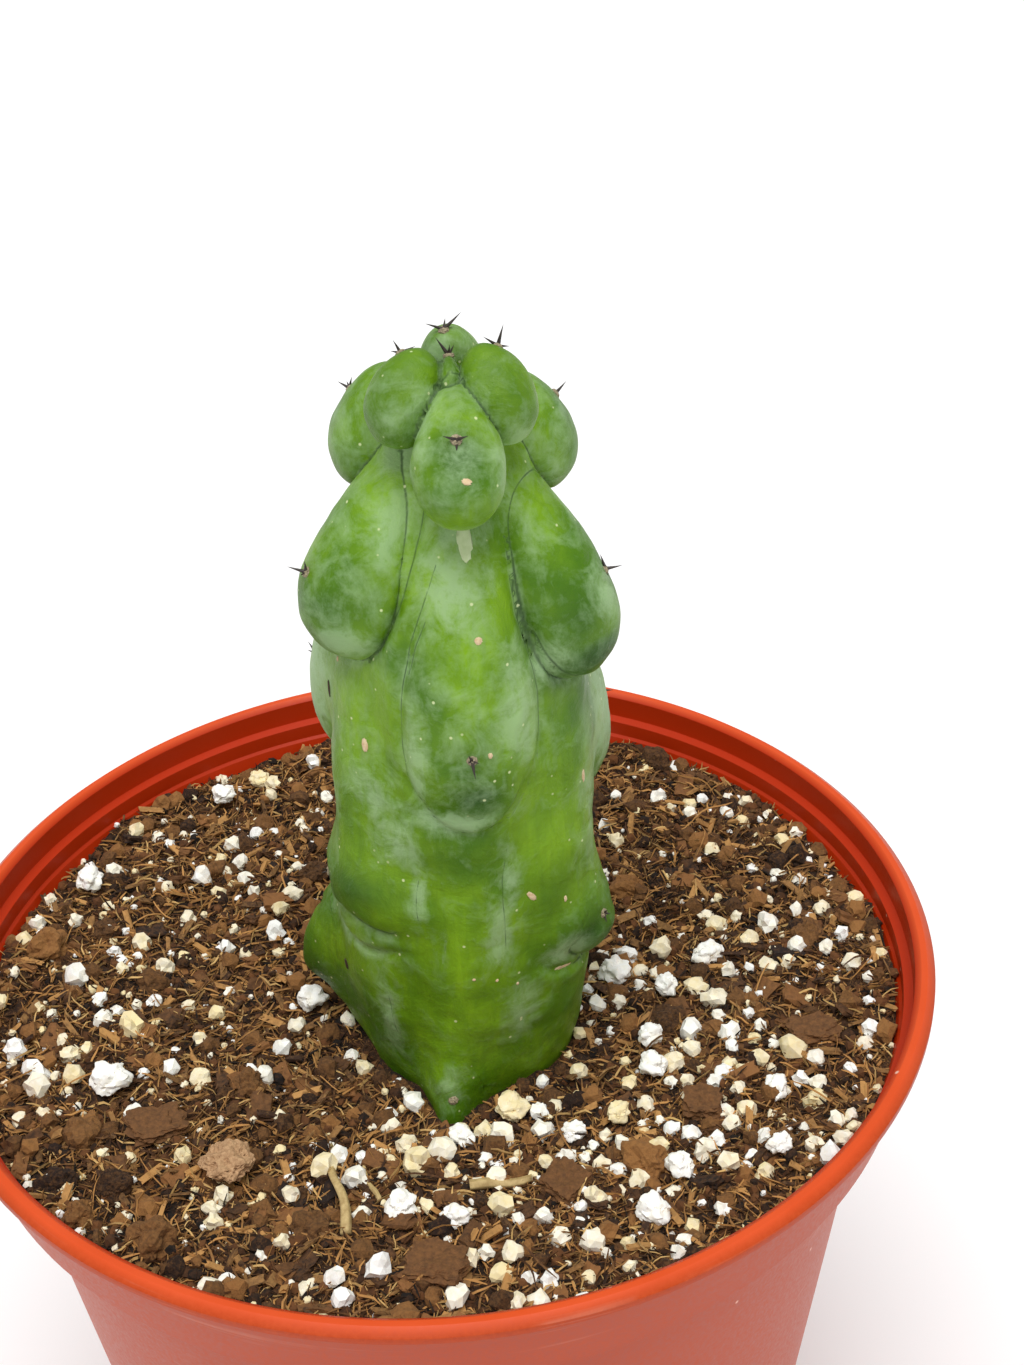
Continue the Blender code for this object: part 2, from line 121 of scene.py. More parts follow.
# Lumps: name, azimuth, height, distance from the axis, length, width, depth, outward tilt of
# the lower end, taper (negative is fuller below), and how softly the upper and the lower end
# run into the stem.
LUMPS = [
    ("front_nose", -10, -11.0, 13.0, 36.0, 7.6, 15.6, 12, -0.10, 6.0, 3.5),
    ("low_left", -101, 5.4, 14.2, 29.0, 11.0, 16.5, 54, 0.32, 8.0, 5.0),
    ("keel_left", -99, -4.0, 11.8, 31.0, 10.5, 17.0, -28, 0.10, 7.0, 6.0),
    ("low_right", 116, 5.5, 11.8, 19.0, 13.0, 18.0, 40, -0.30, 7.0, 3.0),
    ("low_back", 180, 8.0, 11.5, 30.0, 18.0, 20.0, 18, -0.25, 7.0, 2.0),
    ("hip_left", -62, 21.0, 11.9, 15.0, 20.0, 15.0, 17, -0.25, 8.0, 1.0),
    ("hip_right", 68, 13.4, 14.2, 14.0, 12.5, 15.5, 20, -0.28, 7.0, 1.0),
    ("waist_left", -113, 51.0, 12.0, 34.0, 17.0, 20.0, 8, -0.20, 6.0, 1.2),
    ("waist_right", 116, 42.0, 12.0, 34.0, 17.0, 20.0, 8, -0.20, 6.0, 1.2),
    ("waist_back", 180, 66.0, 11.0, 36.0, 18.0, 18.0, 16, -0.25, 6.0, 1.2),
    ("belly", 2, 59.0, 12.0, 48.0, 18.0, 17.5, 6, -0.30, 6.0, 2.6),
    ("breast_left", -62, 77.0, 10.3, 37.0, 13.6, 14.2, 24, -0.74, 1.9, 0.7),
    ("breast_right", 61, 74.2, 10.3, 40.0, 13.6, 14.2, 23, -0.74, 2.4, 0.7),
    ("shoulder_left", -112, 87.5, 10.3, 18.0, 14.0, 12.0, 22, -0.12, 2.0, 0.6),
    ("shoulder_right", 115, 85.5, 10.3, 18.0, 14.0, 12.0, 22, -0.12, 2.0, 0.6),
    ("crown_back", 180, 94.0, 5.3, 15.0, 8.8, 8.6, 30, -0.06, 1.0, 0.5),
    ("face", 3, 91.0, 13.4, 18.6, 11.0, 10.4, 44, -0.26, 0.6, 0.5),
    ("crown_nub", 0, 95.6, 7.0, 11.0, 3.6, 7.0, 44, 0.0, 0.4, 0.4),
    ("crown_left", -38, 95.8, 8.9, 13.0, 9.2, 9.5, 38, -0.06, 0.5, 0.5),
    ("crown_right", 40, 95.8, 9.1, 13.0, 9.2, 9.5, 38, -0.06, 0.5, 0.5),
]
GROOVE_DEPTH = 0.7
GROOVE_WIDTH = 0.45

# Spine clusters: name, the point near which each sits (x, y and height above the rim), and
# its spines, each with the direction it points in and its length.
CLUSTERS = [
    ("crown_back", (7.2, -3.4, 101.0), [
        ((-0.9, 0.0, 0.38), 2.6), ((0.72, 0.1, 0.62), 3.2), ((0.1, 0.7, 0.5), 1.8),
    ]),
    ("crown_nub", (7.8, -9.5, 100.7), [
        ((-0.5, -0.1, 0.85), 3.0), ((0.05, -0.3, 0.95), 1.8), ((0.5, 0.1, 0.85), 1.6),
    ]),
    ("crown_left", (1.9, -10.0, 100.7), [
        ((-0.4, 0.1, 0.9), 2.0), ((0.9, -0.2, 0.4), 2.2), ((-0.9, 0.1, 0.1), 1.4),
    ]),
    ("crown_right", (13.8, -10.0, 100.4), [
        ((0.25, 0.1, 0.95), 3.0), ((-0.75, -0.1, 0.6), 2.4), ((0.9, 0.1, -0.1), 1.6),
    ]),
    ("face", (8.8, -24.5, 96.3), [
        ((-0.8, -0.5, 0.5), 2.2), ((0.8, -0.5, 0.5), 2.2), ((0.0, -0.6, -0.8), 2.2),
        ((0.3, -0.9, 0.3), 1.2),
    ]),
    ("shoulder_left", (-5.6, 0.0, 91.8), [
        ((-0.75, 0.1, 0.5), 1.9), ((0.2, -0.2, 0.95), 1.9), ((-0.2, 0.8, 0.4), 1.4),
    ]),
    ("shoulder_right", (21.8, 0.0, 90.1), [
        ((-0.7, -0.2, 0.6), 2.2), ((0.7, 0.1, 0.7), 2.2), ((0.5, 0.8, 0.3), 1.4),
    ]),
    ("breast_left", (-10.7, -14.8, 72.6), [
        ((-0.95, 0.0, 0.35), 2.6), ((0.1, -0.3, 0.95), 2.2), ((-0.5, -0.8, 0.1), 1.4),
    ]),
    ("breast_right", (26.6, -12.5, 70.2), [
        ((-0.2, -0.2, 0.95), 2.6), ((0.95, 0.0, 0.1), 2.4), ((0.3, -0.4, -0.85), 1.9),
    ]),
    ("waist_back", (7.4, 17.0, 63.0), [
        ((-0.6, 0.6, 0.5), 2.2), ((0.6, 0.6, 0.5), 2.2), ((0, 0.8, -0.6), 1.7),
    ]),
    ("waist_left", (-15.2, 4.0, 50.0), [((-0.45, 0.1, 0.9), 2.3), ((-0.8, 0.5, 0.1), 1.6)]),
    ("waist_right", (27.2, 4.0, 41.0), [((0.2, 0.0, 0.95), 2.3), ((0.95, 0.1, -0.1), 1.9)]),
    ("belly", (8.3, -29.0, 51.4), [
        ((-0.2, -0.6, 0.85), 2.2), ((0.1, -0.5, -0.9), 2.6), ((0.7, -0.7, 0.1), 1.4),
        ((-0.5, -0.8, 0.2), 1.1),
    ]),
    ("hip_left", (-13.4, -12.0, 22.5), [
        ((-0.5, -0.5, 0.7), 1.7), ((0.1, -0.6, -0.8), 1.4), ((-0.9, -0.3, 0.0), 1.2),
    ]),
    ("hip_right", (25.6, -16.0, 15.6), [
        ((0.4, -0.5, 0.8), 1.7), ((0.2, -0.6, -0.8), 1.6), ((0.9, -0.4, 0.1), 1.2),
    ]),
    ("low_left", (-19.5, 2.0, -1.0), [((-0.9, 0.1, 0.3), 1.0), ((-0.4, -0.6, 0.2), 0.7)]),
    ("low_right", (26.0, 3.0, 4.0), [((0.8, 0.3, 0.4), 1.1), ((0.6, -0.5, -0.4), 0.8)]),
    ("low_back", (5.6, 16.0, 4.0), [((-0.4, 0.8, 0.4), 1.7), ((0.5, 0.8, 0.3), 1.7)]),
    ("front_nose", (2.4, -26.5, -9.2), [((-0.1, -0.8, -0.3), 0.8), ((0.4, -0.7, 0.3), 0.7)]),
]
FELT_SIZE = 0.72

# Healed marks on the skin: azimuth, height, half width, half height and turn in degrees
CORKY_SCARS = [
    (8, 67.5, 0.5, 0.5, 0), (-45, 48.6, 0.5, 1.0, 5), (29, 24.5, 0.4, 1.1, 35),
    (5, 90.6, 0.6, 0.4, -10), (59, 40, 0.35, 1.2, 8), (48, 8, 1.9, 0.5, -8), (10, 51.8, 0.3, 0.45, 0),
    (46, 21.5, 0.25, 0.5, 0), (-70, 58, 0.25, 0.4, 0), (2, 12.5, 0.25, 0.25, 0),
    (12, 11.5, 0.25, 0.25, 0), (22, 9.5, 0.22, 0.25, 0), (-120, 70, 0.4, 0.9, 10),
    (150, 40, 0.5, 0.8, -15), (175, 78, 0.4, 0.4, 0), (-160, 25, 0.6, 0.5, 20),
]
DARK_SCABS = [(-80, 51.6, 0.4, 1.3, 4), (-74, 4.7, 0.5, 1.1, 0), (130, 20, 0.5, 0.9, 12)]
PALE_SCARS = [(5, 79, 0.9, 2.4, 0)]

# Folds in the skin, as azimuth and height along each line, with the fold's depth and half
# width, how far the skin on its outer side stands over it, and how dark its painted shade line is.
FOLDS = [
    ("belly_left", [(-8, 78), (-15, 72), (-23, 64), (-26, 54), (-22, 45)], 0.55, 1.1, -0.6, 0.28),
    ("belly_right", [(30, 80), (28, 70), (33, 62), (37, 54), (34, 46)], 0.50, 1.0, 0.6, 0.30),
    ("strip_left", [(-21, 88), (-21, 80), (-25, 72), (-33, 66), (-44, 61)], 0.40, 0.7, -0.3, 0.35),
    ("strip_right", [(34, 66), (38, 62), (47, 58), (64, 55)], 0.40, 0.7, 0.3, 0.35),
    ("strip_middle", [(-13, 70), (-18, 66), (-21, 62)], 0.18, 0.5, 0.0, 0.3),
    ("belly_hem", [(-22, 45), (-11, 39.0), (3, 37.2), (16, 39.0), (26, 45)], 0.55, 1.1, 0.9, 0.12),
    ("hem_under", [(-7, 42.5), (3, 40.6), (13, 42.5)], 0.15, 0.6, 0.0, 0.10),
    ("hip_left_lip", [(-84, 16), (-66, 13.0), (-48, 12.6), (-30, 15)], 0.50, 0.9, 0.6, 0.2),
    ("hip_right_lip", [(80, 9.5), (64, 7), (44, 8), (34, 11)], 0.45, 0.8, 0.5, 0.2),
    ("crack_left", [(-20, 30), (-22, 26), (-20, 21)], 0.12, 0.4, 0.0, 0.2),
    ("crack_right", [(18, 34), (15, 28), (16, 22), (17, 15)], 0.14, 0.4, 0.0, 0.25),
    ("crack_middle", [(-9, 20), (-11, 15)], 0.10, 0.4, 0.0, 0.15),
    ("crack_low", [(-41, 6), (-40, 1), (-38, -3)], 0.14, 0.4, 0.0, 0.2),
]
FOLD_REACH = 4.0

# Patches of skin: azimuth, height, half size across and up, and how strong each is
BLOOM_PATCHES = [
    (0, 94, 60.0, 12.0, 0.22), (-60, 76, 12.0, 12.0, 0.42), (62, 80, 9.0, 9.0, 0.36),
    (0, 52, 20.0, 16.0, 0.35), (-3, 74, 5.0, 6.0, 1.0), (26, 56, 3.5, 8.0, 0.9),
    (-35, 80, 3.0, 5.0, 0.8), (3, 92, 4.5, 6.0, 0.5), (40, 82, 3.0, 7.0, 0.6), (2, 80, 5.0, 3.5, 0.9),
    (-46, 65, 5.0, 2.5, 0.9), (-45, 88, 4.0, 3.0, 0.9), (-2, 77, 4.0, 3.0, 0.8),
    (-5, 40, 6.0, 2.5, 1.0), (-31, 35, 4.0, 4.0, 0.9), (-41, 41, 5.0, 5.0, 0.8),
    (-17, 50, 2.5, 8.0, 0.9), (-65, 13, 8.0, 2.0, 0.9), (38, 61, 2.5, 4.0, 1.0),
    (62, 69, 3.0, 4.0, 0.9), (80, 80, 3.0, 8.0, 0.7), (23, 57, 3.5, 8.0, 0.9), (-95, 89, 9.0, 8.0, 0.5),
    (100, 87, 9.0, 8.0, 0.45), (177, 98, 8.0, 6.0, 0.6), (-100, 50, 6.0, 13.0, 1.0),
    (95, 43, 6.0, 13.0, 1.0), (19, 29, 1.5, 5.0, 0.9), (14, 20, 2.0, 6.0, 0.9),
    (-20, 27, 1.5, 5.0, 0.8), (-42, 2, 2.0, 7.0, 0.8), (24, 4, 3.0, 6.0, 0.7), (-9, -7, 2.0, 4.0, 0.6),
    (-14, 94, 2.5, 5.0, 0.7), (20, 92, 2.5, 5.0, 0.7), (46, 12, 3.0, 2.5, 1.0),
    (66, 36, 3.0, 14.0, 0.8), (-70, 40, 2.5, 12.0, 0.6), (34, 90, 3.0, 5.0, 0.7),
    (-30, 95, 2.5, 2.5, 0.5), (12, 48, 4.0, 3.0, 0.5), (150, 60, 9.0, 25.0, 0.6),
    (-150, 60, 9.0, 25.0, 0.6), (180, 30, 12.0, 14.0, 0.7),
]
# Dark patches are partly darker skin and partly painted shade on the undersides of the swellings
DARK_SKIN_AND_SHADE_PATCHES = [
    (-50, 70, 6.0, 4.5, 0.6), (-56, 66, 5.0, 4.0, 0.5), (50, 67, 5.5, 5.5, 0.75),
    (55, 61, 6.0, 3.5, 1.0), (50, 60, 5.0, 3.5, 0.9), (5, 45, 4.0, 3.5, 1.0), (-48, 25, 6.0, 3.0, 0.8),
    (-36, 26, 4.0, 3.0, 0.5), (56, 14, 4.0, 3.5, 0.9), (-38, 97, 4.5, 5.0, 0.6),
    (36, 97, 4.5, 5.0, 0.6), (4, 100, 3.0, 3.0, 0.6), (3, 93, 3.0, 2.5, 0.25), (4, 88, 3.0, 2.0, 0.2),
    (34, 2, 6.0, 6.0, 0.15), (-10, 33, 8.0, 3.0, 0.5), (44, 24, 5.0, 5.0, 0.4),
    (-95, -2, 7.0, 4.0, 0.7), (-40, -5, 5.0, 5.0, 0.5), (180, 58, 7.0, 5.0, 0.7),
    (180, 5, 7.0, 6.0, 0.7), (112, 80, 6.0, 3.0, 0.5), (-110, 82, 6.0, 3.0, 0.5),
    (116, 34, 6.0, 5.0, 0.6), (-113, 42, 6.0, 5.0, 0.6),
]
FRESH_PATCHES = [
    (26, 56, 4.0, 8.0, 0.7), (5, 6, 16.0, 12.0, 0.35), (-4, 74, 4.0, 4.0, 1.0), (38, 86, 3.0, 6.0, 0.6),
    (-42, 84, 3.5, 5.0, 0.8), (5, 67, 4.5, 6.0, 0.8), (-2, 76, 5.0, 4.0, 0.7), (42, 30, 5.0, 7.0, 0.8),
    (-3, 14, 2.0, 10.0, 1.0), (2, 99, 3.0, 4.0, 0.3), (46, 81, 3.0, 6.0, 0.6), (-54, 48, 4.0, 9.0, 0.8),
    (20, 71, 2.5, 7.0, 0.7), (-37, 101, 3.0, 3.0, 0.3), (-4, 5, 3.0, 6.0, 0.5), (10, 12, 6.0, 5.0, 0.5),
    (5, 98, 4.0, 2.5, 0.4), (178, 101, 5.0, 4.0, 0.8), (60, 97, 4.0, 4.0, 0.4),
    (-60, 30, 3.0, 6.0, 0.4),
]

# Where loose perlite has drifted together: x and y in millimetres, how many, and how far spread
PERLITE_DRIFTS = [
    (30, -38, 34, 9.0), (46, -25, 26, 8.0), (14, -52, 22, 8.0), (-8, -40, 12, 6.0), (38, 2, 14, 7.0),
    (58, 6, 12, 5.0), (-48, 10, 12, 6.0), (-30, 28, 10, 7.0), (-56, -14, 8, 6.0), (2, -34, 8, 3.0),
]

# Loose stuff strewn over the mix: name, slot, how many, smallest and largest in millimetres,
# how far each is lifted in its own sizes, how far it may tilt in radians, and how far it keeps
# from its neighbours.
STREWN = [
    ("peat_crumbs", "potting_mix", 6000, (0.6, 2.4), 0.10, 3.0, 0.0),
    ("peat_fibres_1", "potting_mix", 7000, (1.3, 4.4), 0.06, 0.6, 0.0),
    ("peat_fibres_2", "potting_mix", 7000, (1.3, 4.4), 0.12, 0.6, 0.0),
    ("peat_fibres_3", "potting_mix", 7000, (1.3, 4.4), 0.16, 0.6, 0.0),
    ("peat_fibres_4", "potting_mix", 7000, (1.3, 4.4), 0.12, 0.6, 0.0),
    ("peat_fibres_5", "potting_mix", 4500, (1.3, 4.4), 0.18, 0.6, 0.0),
    ("coir_wisps", "potting_mix", 420, (5.0, 11.0), 0.09, 0.3, 0.0),
    ("peat_nuggets", "potting_mix", 24, (4.5, 8.0), 0.05, 0.6, 0.9),
    ("peat_clods", "potting_mix", 420, (1.6, 4.5), 0.12, 0.8, 0.0),
    ("bark_bits", "bark", 300, (1.6, 5.0), 0.10, 0.5, 0.0),
    ("coir_chips", "potting_mix", 1100, (1.4, 4.4), 0.22, 0.8, 0.0),
]
LOOSE_PERLITE = 330
PERLITE_DUST = 700
PACKED_GRAINS = 20
YELLOWED_GRAINS = (6, 11, 17)
THINNED = 1.0


# ---------------------------------------------------------------- small helpers


def linear(hex_colour):
    """An sRGB hex colour as linear RGBA."""
    channels = [int(hex_colour[i:i + 2], 16) / 255.0 for i in (1, 3, 5)]
    return tuple(c / 12.92 if c <= 0.04045 else ((c + 0.055) / 1.055) ** 2.4 for c in channels) + (1.0,)


def add_node(tree, kind, inputs, output=0, **settings):
    """Adds a node with its settings and links, and returns one of its outputs. The inputs are
    in the node's order or by name; each is a value, a hex colour or another node's output."""
    made = tree.nodes.new("ShaderNode" + kind)
    for name, value in settings.items():
        setattr(made, name, value)
    for socket, value in inputs.items() if isinstance(inputs, dict) else enumerate(inputs):
        if isinstance(value, bpy.types.NodeSocket):
            tree.links.new(value, made.inputs[socket])
        else:
            made.inputs[socket].default_value = linear(value) if isinstance(value, str) else value
    return made.outputs[output]


def new_material(name, roughness, **shader_values):
    """A material with its shader's constants; returns it, its tree and its Object coordinates."""
    made = bpy.data.materials.new(name)
    made.use_nodes = True
    shader = made.node_tree.nodes["Principled BSDF"]
    shader.inputs["Roughness"].default_value = roughness
    for socket, value in shader_values.items():
        shader.inputs[socket.replace("_", " ")].default_value = value
    return made, made.node_tree, add_node(made.node_tree, "TexCoord", {}, "Object")


def dress(made, base, layers, relief, strength, depth_mm, roughness=None):
    """Lays a finish's colours over its base, each with its share, and adds its fine relief."""
    tree = made.node_tree
    for share, over in layers:
        base = add_node(tree, "Mix", {0: share, 6: base, 7: over}, 2, data_type="RGBA")
    bump = add_node(tree, "Bump", {"Height": relief, "Strength": strength, "Distance": depth_mm * MM})
    shader = tree.nodes["Principled BSDF"]
    tree.links.new(base, shader.inputs["Base Color"])
    tree.links.new(bump, shader.inputs["Normal"])
    if roughness:
        tree.links.new(roughness, shader.inputs["Roughness"])
    return made


def per_mm(size):
    """The texture scale whose features are about this many millimetres."""
    return 1.0 / (size * MM)


def deselect_all():
    if bpy.context.mode != "OBJECT":
        bpy.ops.object.mode_set(mode="OBJECT")
    bpy.ops.object.select_all(action="DESELECT")


def take(obj):
    """Makes one object the only selected and the active one."""
    deselect_all()
    obj.select_set(True)
    bpy.context.view_layer.objects.active = obj
    return obj


def start_with(primitive, **settings):
    """Adds a primitive with nothing else selected."""
    deselect_all()
    primitive(**settings)
    return bpy.context.object


def apply_modifier(obj, kind, **settings):
    take(obj)
    modifier = obj.modifiers.new(kind.lower(), kind)
    for name, value in settings.items():
        setattr(modifier, name, value)
    bpy.ops.object.modifier_apply(modifier=modifier.name)


def settle_place(obj):
    """Moves an object's place into its mesh."""
    take(obj)
    bpy.ops.object.transform_apply(location=True, rotation=True, scale=True)
    return obj


def smooth(obj, sharpest=180):
    """Shades an object smooth where its faces meet at less than an angle in degrees."""
    take(obj)
    if sharpest < 180:
        bpy.ops.object.shade_smooth_by_angle(angle=math.radians(sharpest))
    else:
        bpy.ops.object.shade_smooth()
    return obj


def join_all(objects, name):
    """Joins objects into the first, which takes the name."""
    deselect_all()
    for obj in objects:
        obj.select_set(True)
    bpy.context.view_layer.objects.active = objects[0]
    if len(objects) > 1:
        bpy.ops.object.join()
    objects[0].name = name
    return objects[0]


def cut_across(obj, heights):
    """Cuts a standing shape straight across at each height."""
    take(obj)
    bpy.ops.object.mode_set(mode="EDIT")
    for height in heights:
        bpy.ops.mesh.select_all(action="SELECT")
        bpy.ops.mesh.bisect(plane_co=(0.0, 0.0, height), plane_no=UP)
    bpy.ops.object.mode_set(mode="OBJECT")
    return obj


def cut_block(cuts):
    """A cube one unit across with each of its sides cut into a grid."""
    block = start_with(bpy.ops.mesh.primitive_cube_add, size=1.0)
    bpy.ops.object.mode_set(mode="EDIT")
    bpy.ops.mesh.subdivide(number_cuts=cuts)
    bpy.ops.object.mode_set(mode="OBJECT")
    return block


def coordinates(mesh, layer="co"):
    """A mesh's points, or its points' normals, as rows."""
    flat = np.empty(len(mesh.vertices) * 3)
    mesh.vertices.foreach_get(layer, flat)
    return flat.reshape(-1, 3)


def set_coordinates(mesh, points):
    mesh.vertices.foreach_set("co", np.ascontiguousarray(points).ravel())
    mesh.update()


def edge_ends(mesh):
    """The two points of every edge, as two rows of indices."""
    ends = np.empty(len(mesh.edges) * 2, dtype=np.int64)
    mesh.edges.foreach_get("vertices", ends)
    return ends[0::2], ends[1::2]


def set_attribute(mesh, name, values):
    layer = mesh.attributes.new(name, "FLOAT", "POINT")
    layer.data.foreach_set("value", np.asarray(values, dtype=np.float32))


def along_x(shift):
    return Vector((shift, 0.0, 0.0))


def along_y(shift):
    return Vector((0.0, shift, 0.0))


def along_z(shift):
    return Vector((0.0, 0.0, shift))


def finish_piece(obj, slot, material, *replaced):
    """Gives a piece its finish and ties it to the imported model."""
    obj.data.materials.clear()
    obj.data.materials.append(material)
    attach(obj, "root")
    if replaced:
        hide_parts(*replaced)
    return obj


def surface_of(obj):
    """An object's surface, ready for rays and nearest points."""
    graph = bpy.context.evaluated_depsgraph_get()
    graph.update()
    return BVHTree.FromObject(obj, graph)


# ---------------------------------------------------------------- camera, light and floor


def make_camera():
    """Looks down on the pot from in front of it."""
    camera = bpy.data.cameras.new("camera")
    camera.lens = CAMERA_LENS
    camera.sensor_width = 36.0
    camera.clip_start = 0.01
    seen_from = bpy.data.objects.new("camera", camera)
    bpy.context.scene.collection.objects.link(seen_from)
    tilt = Euler((math.radians(90.0 - CAMERA_DOWN), 0.0, 0.0)).to_matrix()
    turn = Euler((0.0, 0.0, math.radians(CAMERA_ROLL))).to_matrix()
    seen_from.matrix_world = Matrix.Translation(CAMERA_PLACE) @ (tilt @ turn).to_4x4()
    bpy.context.scene.camera = seen_from


def make_studio():
    """White surroundings with a very broad soft light from above and a little to the front."""
    bpy.context.scene.view_settings.view_transform = "Standard"
    world = bpy.data.worlds.new("studio")
    bpy.context.scene.world = world
    world.use_nodes = True
    sky = world.node_tree.nodes["Background"]
    sky.inputs["Color"].default_value = (1.0, 1.0, 1.0, 1.0)
    sky.inputs["Strength"].default_value = SKY_STRENGTH
    lamp = bpy.data.lights.new("overhead_softbox", "SUN")
    lamp.energy = LAMP_STRENGTH
    lamp.angle = math.radians(LAMP_SPREAD)
    holder = bpy.data.objects.new("overhead_softbox", lamp)
    bpy.context.scene.collection.objects.link(holder)
    holder.rotation_euler = LAMP_AIM.to_track_quat("-Z", "Y").to_euler()
    floor = start_with(bpy.ops.mesh.primitive_plane_add, size=FLOOR_SIZE, location=(0.0, 0.0, 0.0))
    floor.name = "studio_floor"
    paint, _, _ = new_material("white_studio_floor", 0.9, Base_Color=linear("#fbfbfb"))
    floor.data.materials.append(paint)


# ---------------------------------------------------------------- materials


def cactus_skin():
    """Living cactus skin: waxy green, yellower where it is young and darker in patches on the
    swellings, partly darker skin and partly painted shade under the swellings and the spine
    clusters, under a pale blue-grey bloom that is rubbed off in streaks, with a painted shade line
    in each crease and a few pale specks."""
    made, tree, place = new_material(
        "waxy_cactus_skin", 0.40, Specular_IOR_Level=0.30, Subsurface_Weight=0.05,
        Subsurface_Scale=0.0015, Subsurface_Radius=(0.6, 1.0, 0.25),
    )
    skin = {
        name: add_node(tree, "Attribute", {}, "Fac", attribute_name=name)
        for name in ("fresh", "dark", "bloom", "gap", "gap_size")
    }
    blotch = add_node(tree, "TexNoise", {"Vector": place, "Scale": per_mm(11), "Detail": 5.0})
    fine = add_node(
        tree, "TexNoise", {"Vector": place, "Scale": per_mm(1.3), "Detail": 5.0, "Roughness": 0.7},
    )
    haze = add_node(
        tree, "TexNoise",
        {"Vector": place, "Scale": per_mm(5), "Detail": 8.0, "Roughness": 0.66, "Distortion": 0.8},
    )
    upright = add_node(tree, "Mapping", {"Vector": place, "Scale": (1.0, 1.0, 0.14)})
    combed = add_node(
        tree, "TexNoise", {"Vector": upright, "Scale": per_mm(1.1), "Detail": 4.0, "Distortion": 0.6},
    )
    young = add_node(tree, "MapRange", (blotch, 0.38, 0.62))
    uneven = add_node(tree, "Math", (haze, 0.9, 0.55), operation="MULTIPLY_ADD")
    fresh, dark = (
        add_node(tree, "MapRange", (
            add_node(tree, "Math", (skin[name], uneven), operation="MULTIPLY"), 0.1, 1.0,
        )) for name in ("fresh", "dark")
    )
    combed_share = add_node(tree, "MapRange", (combed, 0.35, 0.65, 0.0, 0.25))

    # The bloom is thickest in its patches and beside the creases, and streaks wear through it
    crease_side = add_node(tree, "MapRange", (skin["gap_size"], 2.4, 0.3, 0.0, 0.55))
    bloom = add_node(tree, "Math", (skin["bloom"], crease_side), operation="MAXIMUM")
    streaks = add_node(tree, "Math", (fine, 0.45, haze), operation="MULTIPLY_ADD")
    streaks = add_node(tree, "Math", (combed, 0.22, streaks), operation="MULTIPLY_ADD")
    left_on = add_node(tree, "Math", (bloom, 0.36, streaks), operation="MULTIPLY_ADD")
    left_on = add_node(tree, "MapRange", (left_on, 0.88, 1.16))
    thickness = add_node(tree, "Math", (bloom, 0.50, 0.24), operation="MULTIPLY_ADD")
    bloomed = add_node(tree, "Math", (left_on, thickness), operation="MULTIPLY")

    # The painted shade line in a crease fades where the crease ends and wavers in strength
    gap = add_node(tree, "Math", (skin["gap"],), operation="ABSOLUTE")
    line = add_node(tree, "MapRange", (gap, 0.55, 0.1))
    near = add_node(tree, "MapRange", (skin["gap_size"], 1.0, 0.5))
    waver = add_node(tree, "MapRange", (haze, 0.3, 0.6, 0.45, 1.0))
    for share in (near, waver, 0.75):
        line = add_node(tree, "Math", (line, share), operation="MULTIPLY")

    # About one cell in four has a pale speck
    dots = add_node(tree, "TexVoronoi", {"Vector": place, "Scale": per_mm(1.9)})
    chosen = add_node(tree, "SeparateColor", {"Color": dots.node.outputs["Color"]})
    speck = add_node(tree, "MapRange", (dots, 0.14, 0.08))
    for share in (0.8, add_node(tree, "MapRange", (chosen, 0.70, 0.76))):
        speck = add_node(tree, "Math", (speck, share), operation="MULTIPLY")

    # The dark share is darker skin and painted shade; the crease line is painted shade
    layers = (
        (young, "#78a314"), (fresh, "#86b416"), (dark, "#25500c"), (combed_share, "#3a6a10"),
        (bloomed, "#a9c996"), (line, "#1f4016"), (speck, "#dfe9b0"),
    )
    relief = add_node(tree, "Math", (haze, 2.0, fine), operation="MULTIPLY_ADD")
    wax = add_node(tree, "MapRange", (streaks, 0.5, 0.9, 0.30, 0.5))
    return dress(made, "#4f7c04", layers, relief, 0.55, 0.30, wax)


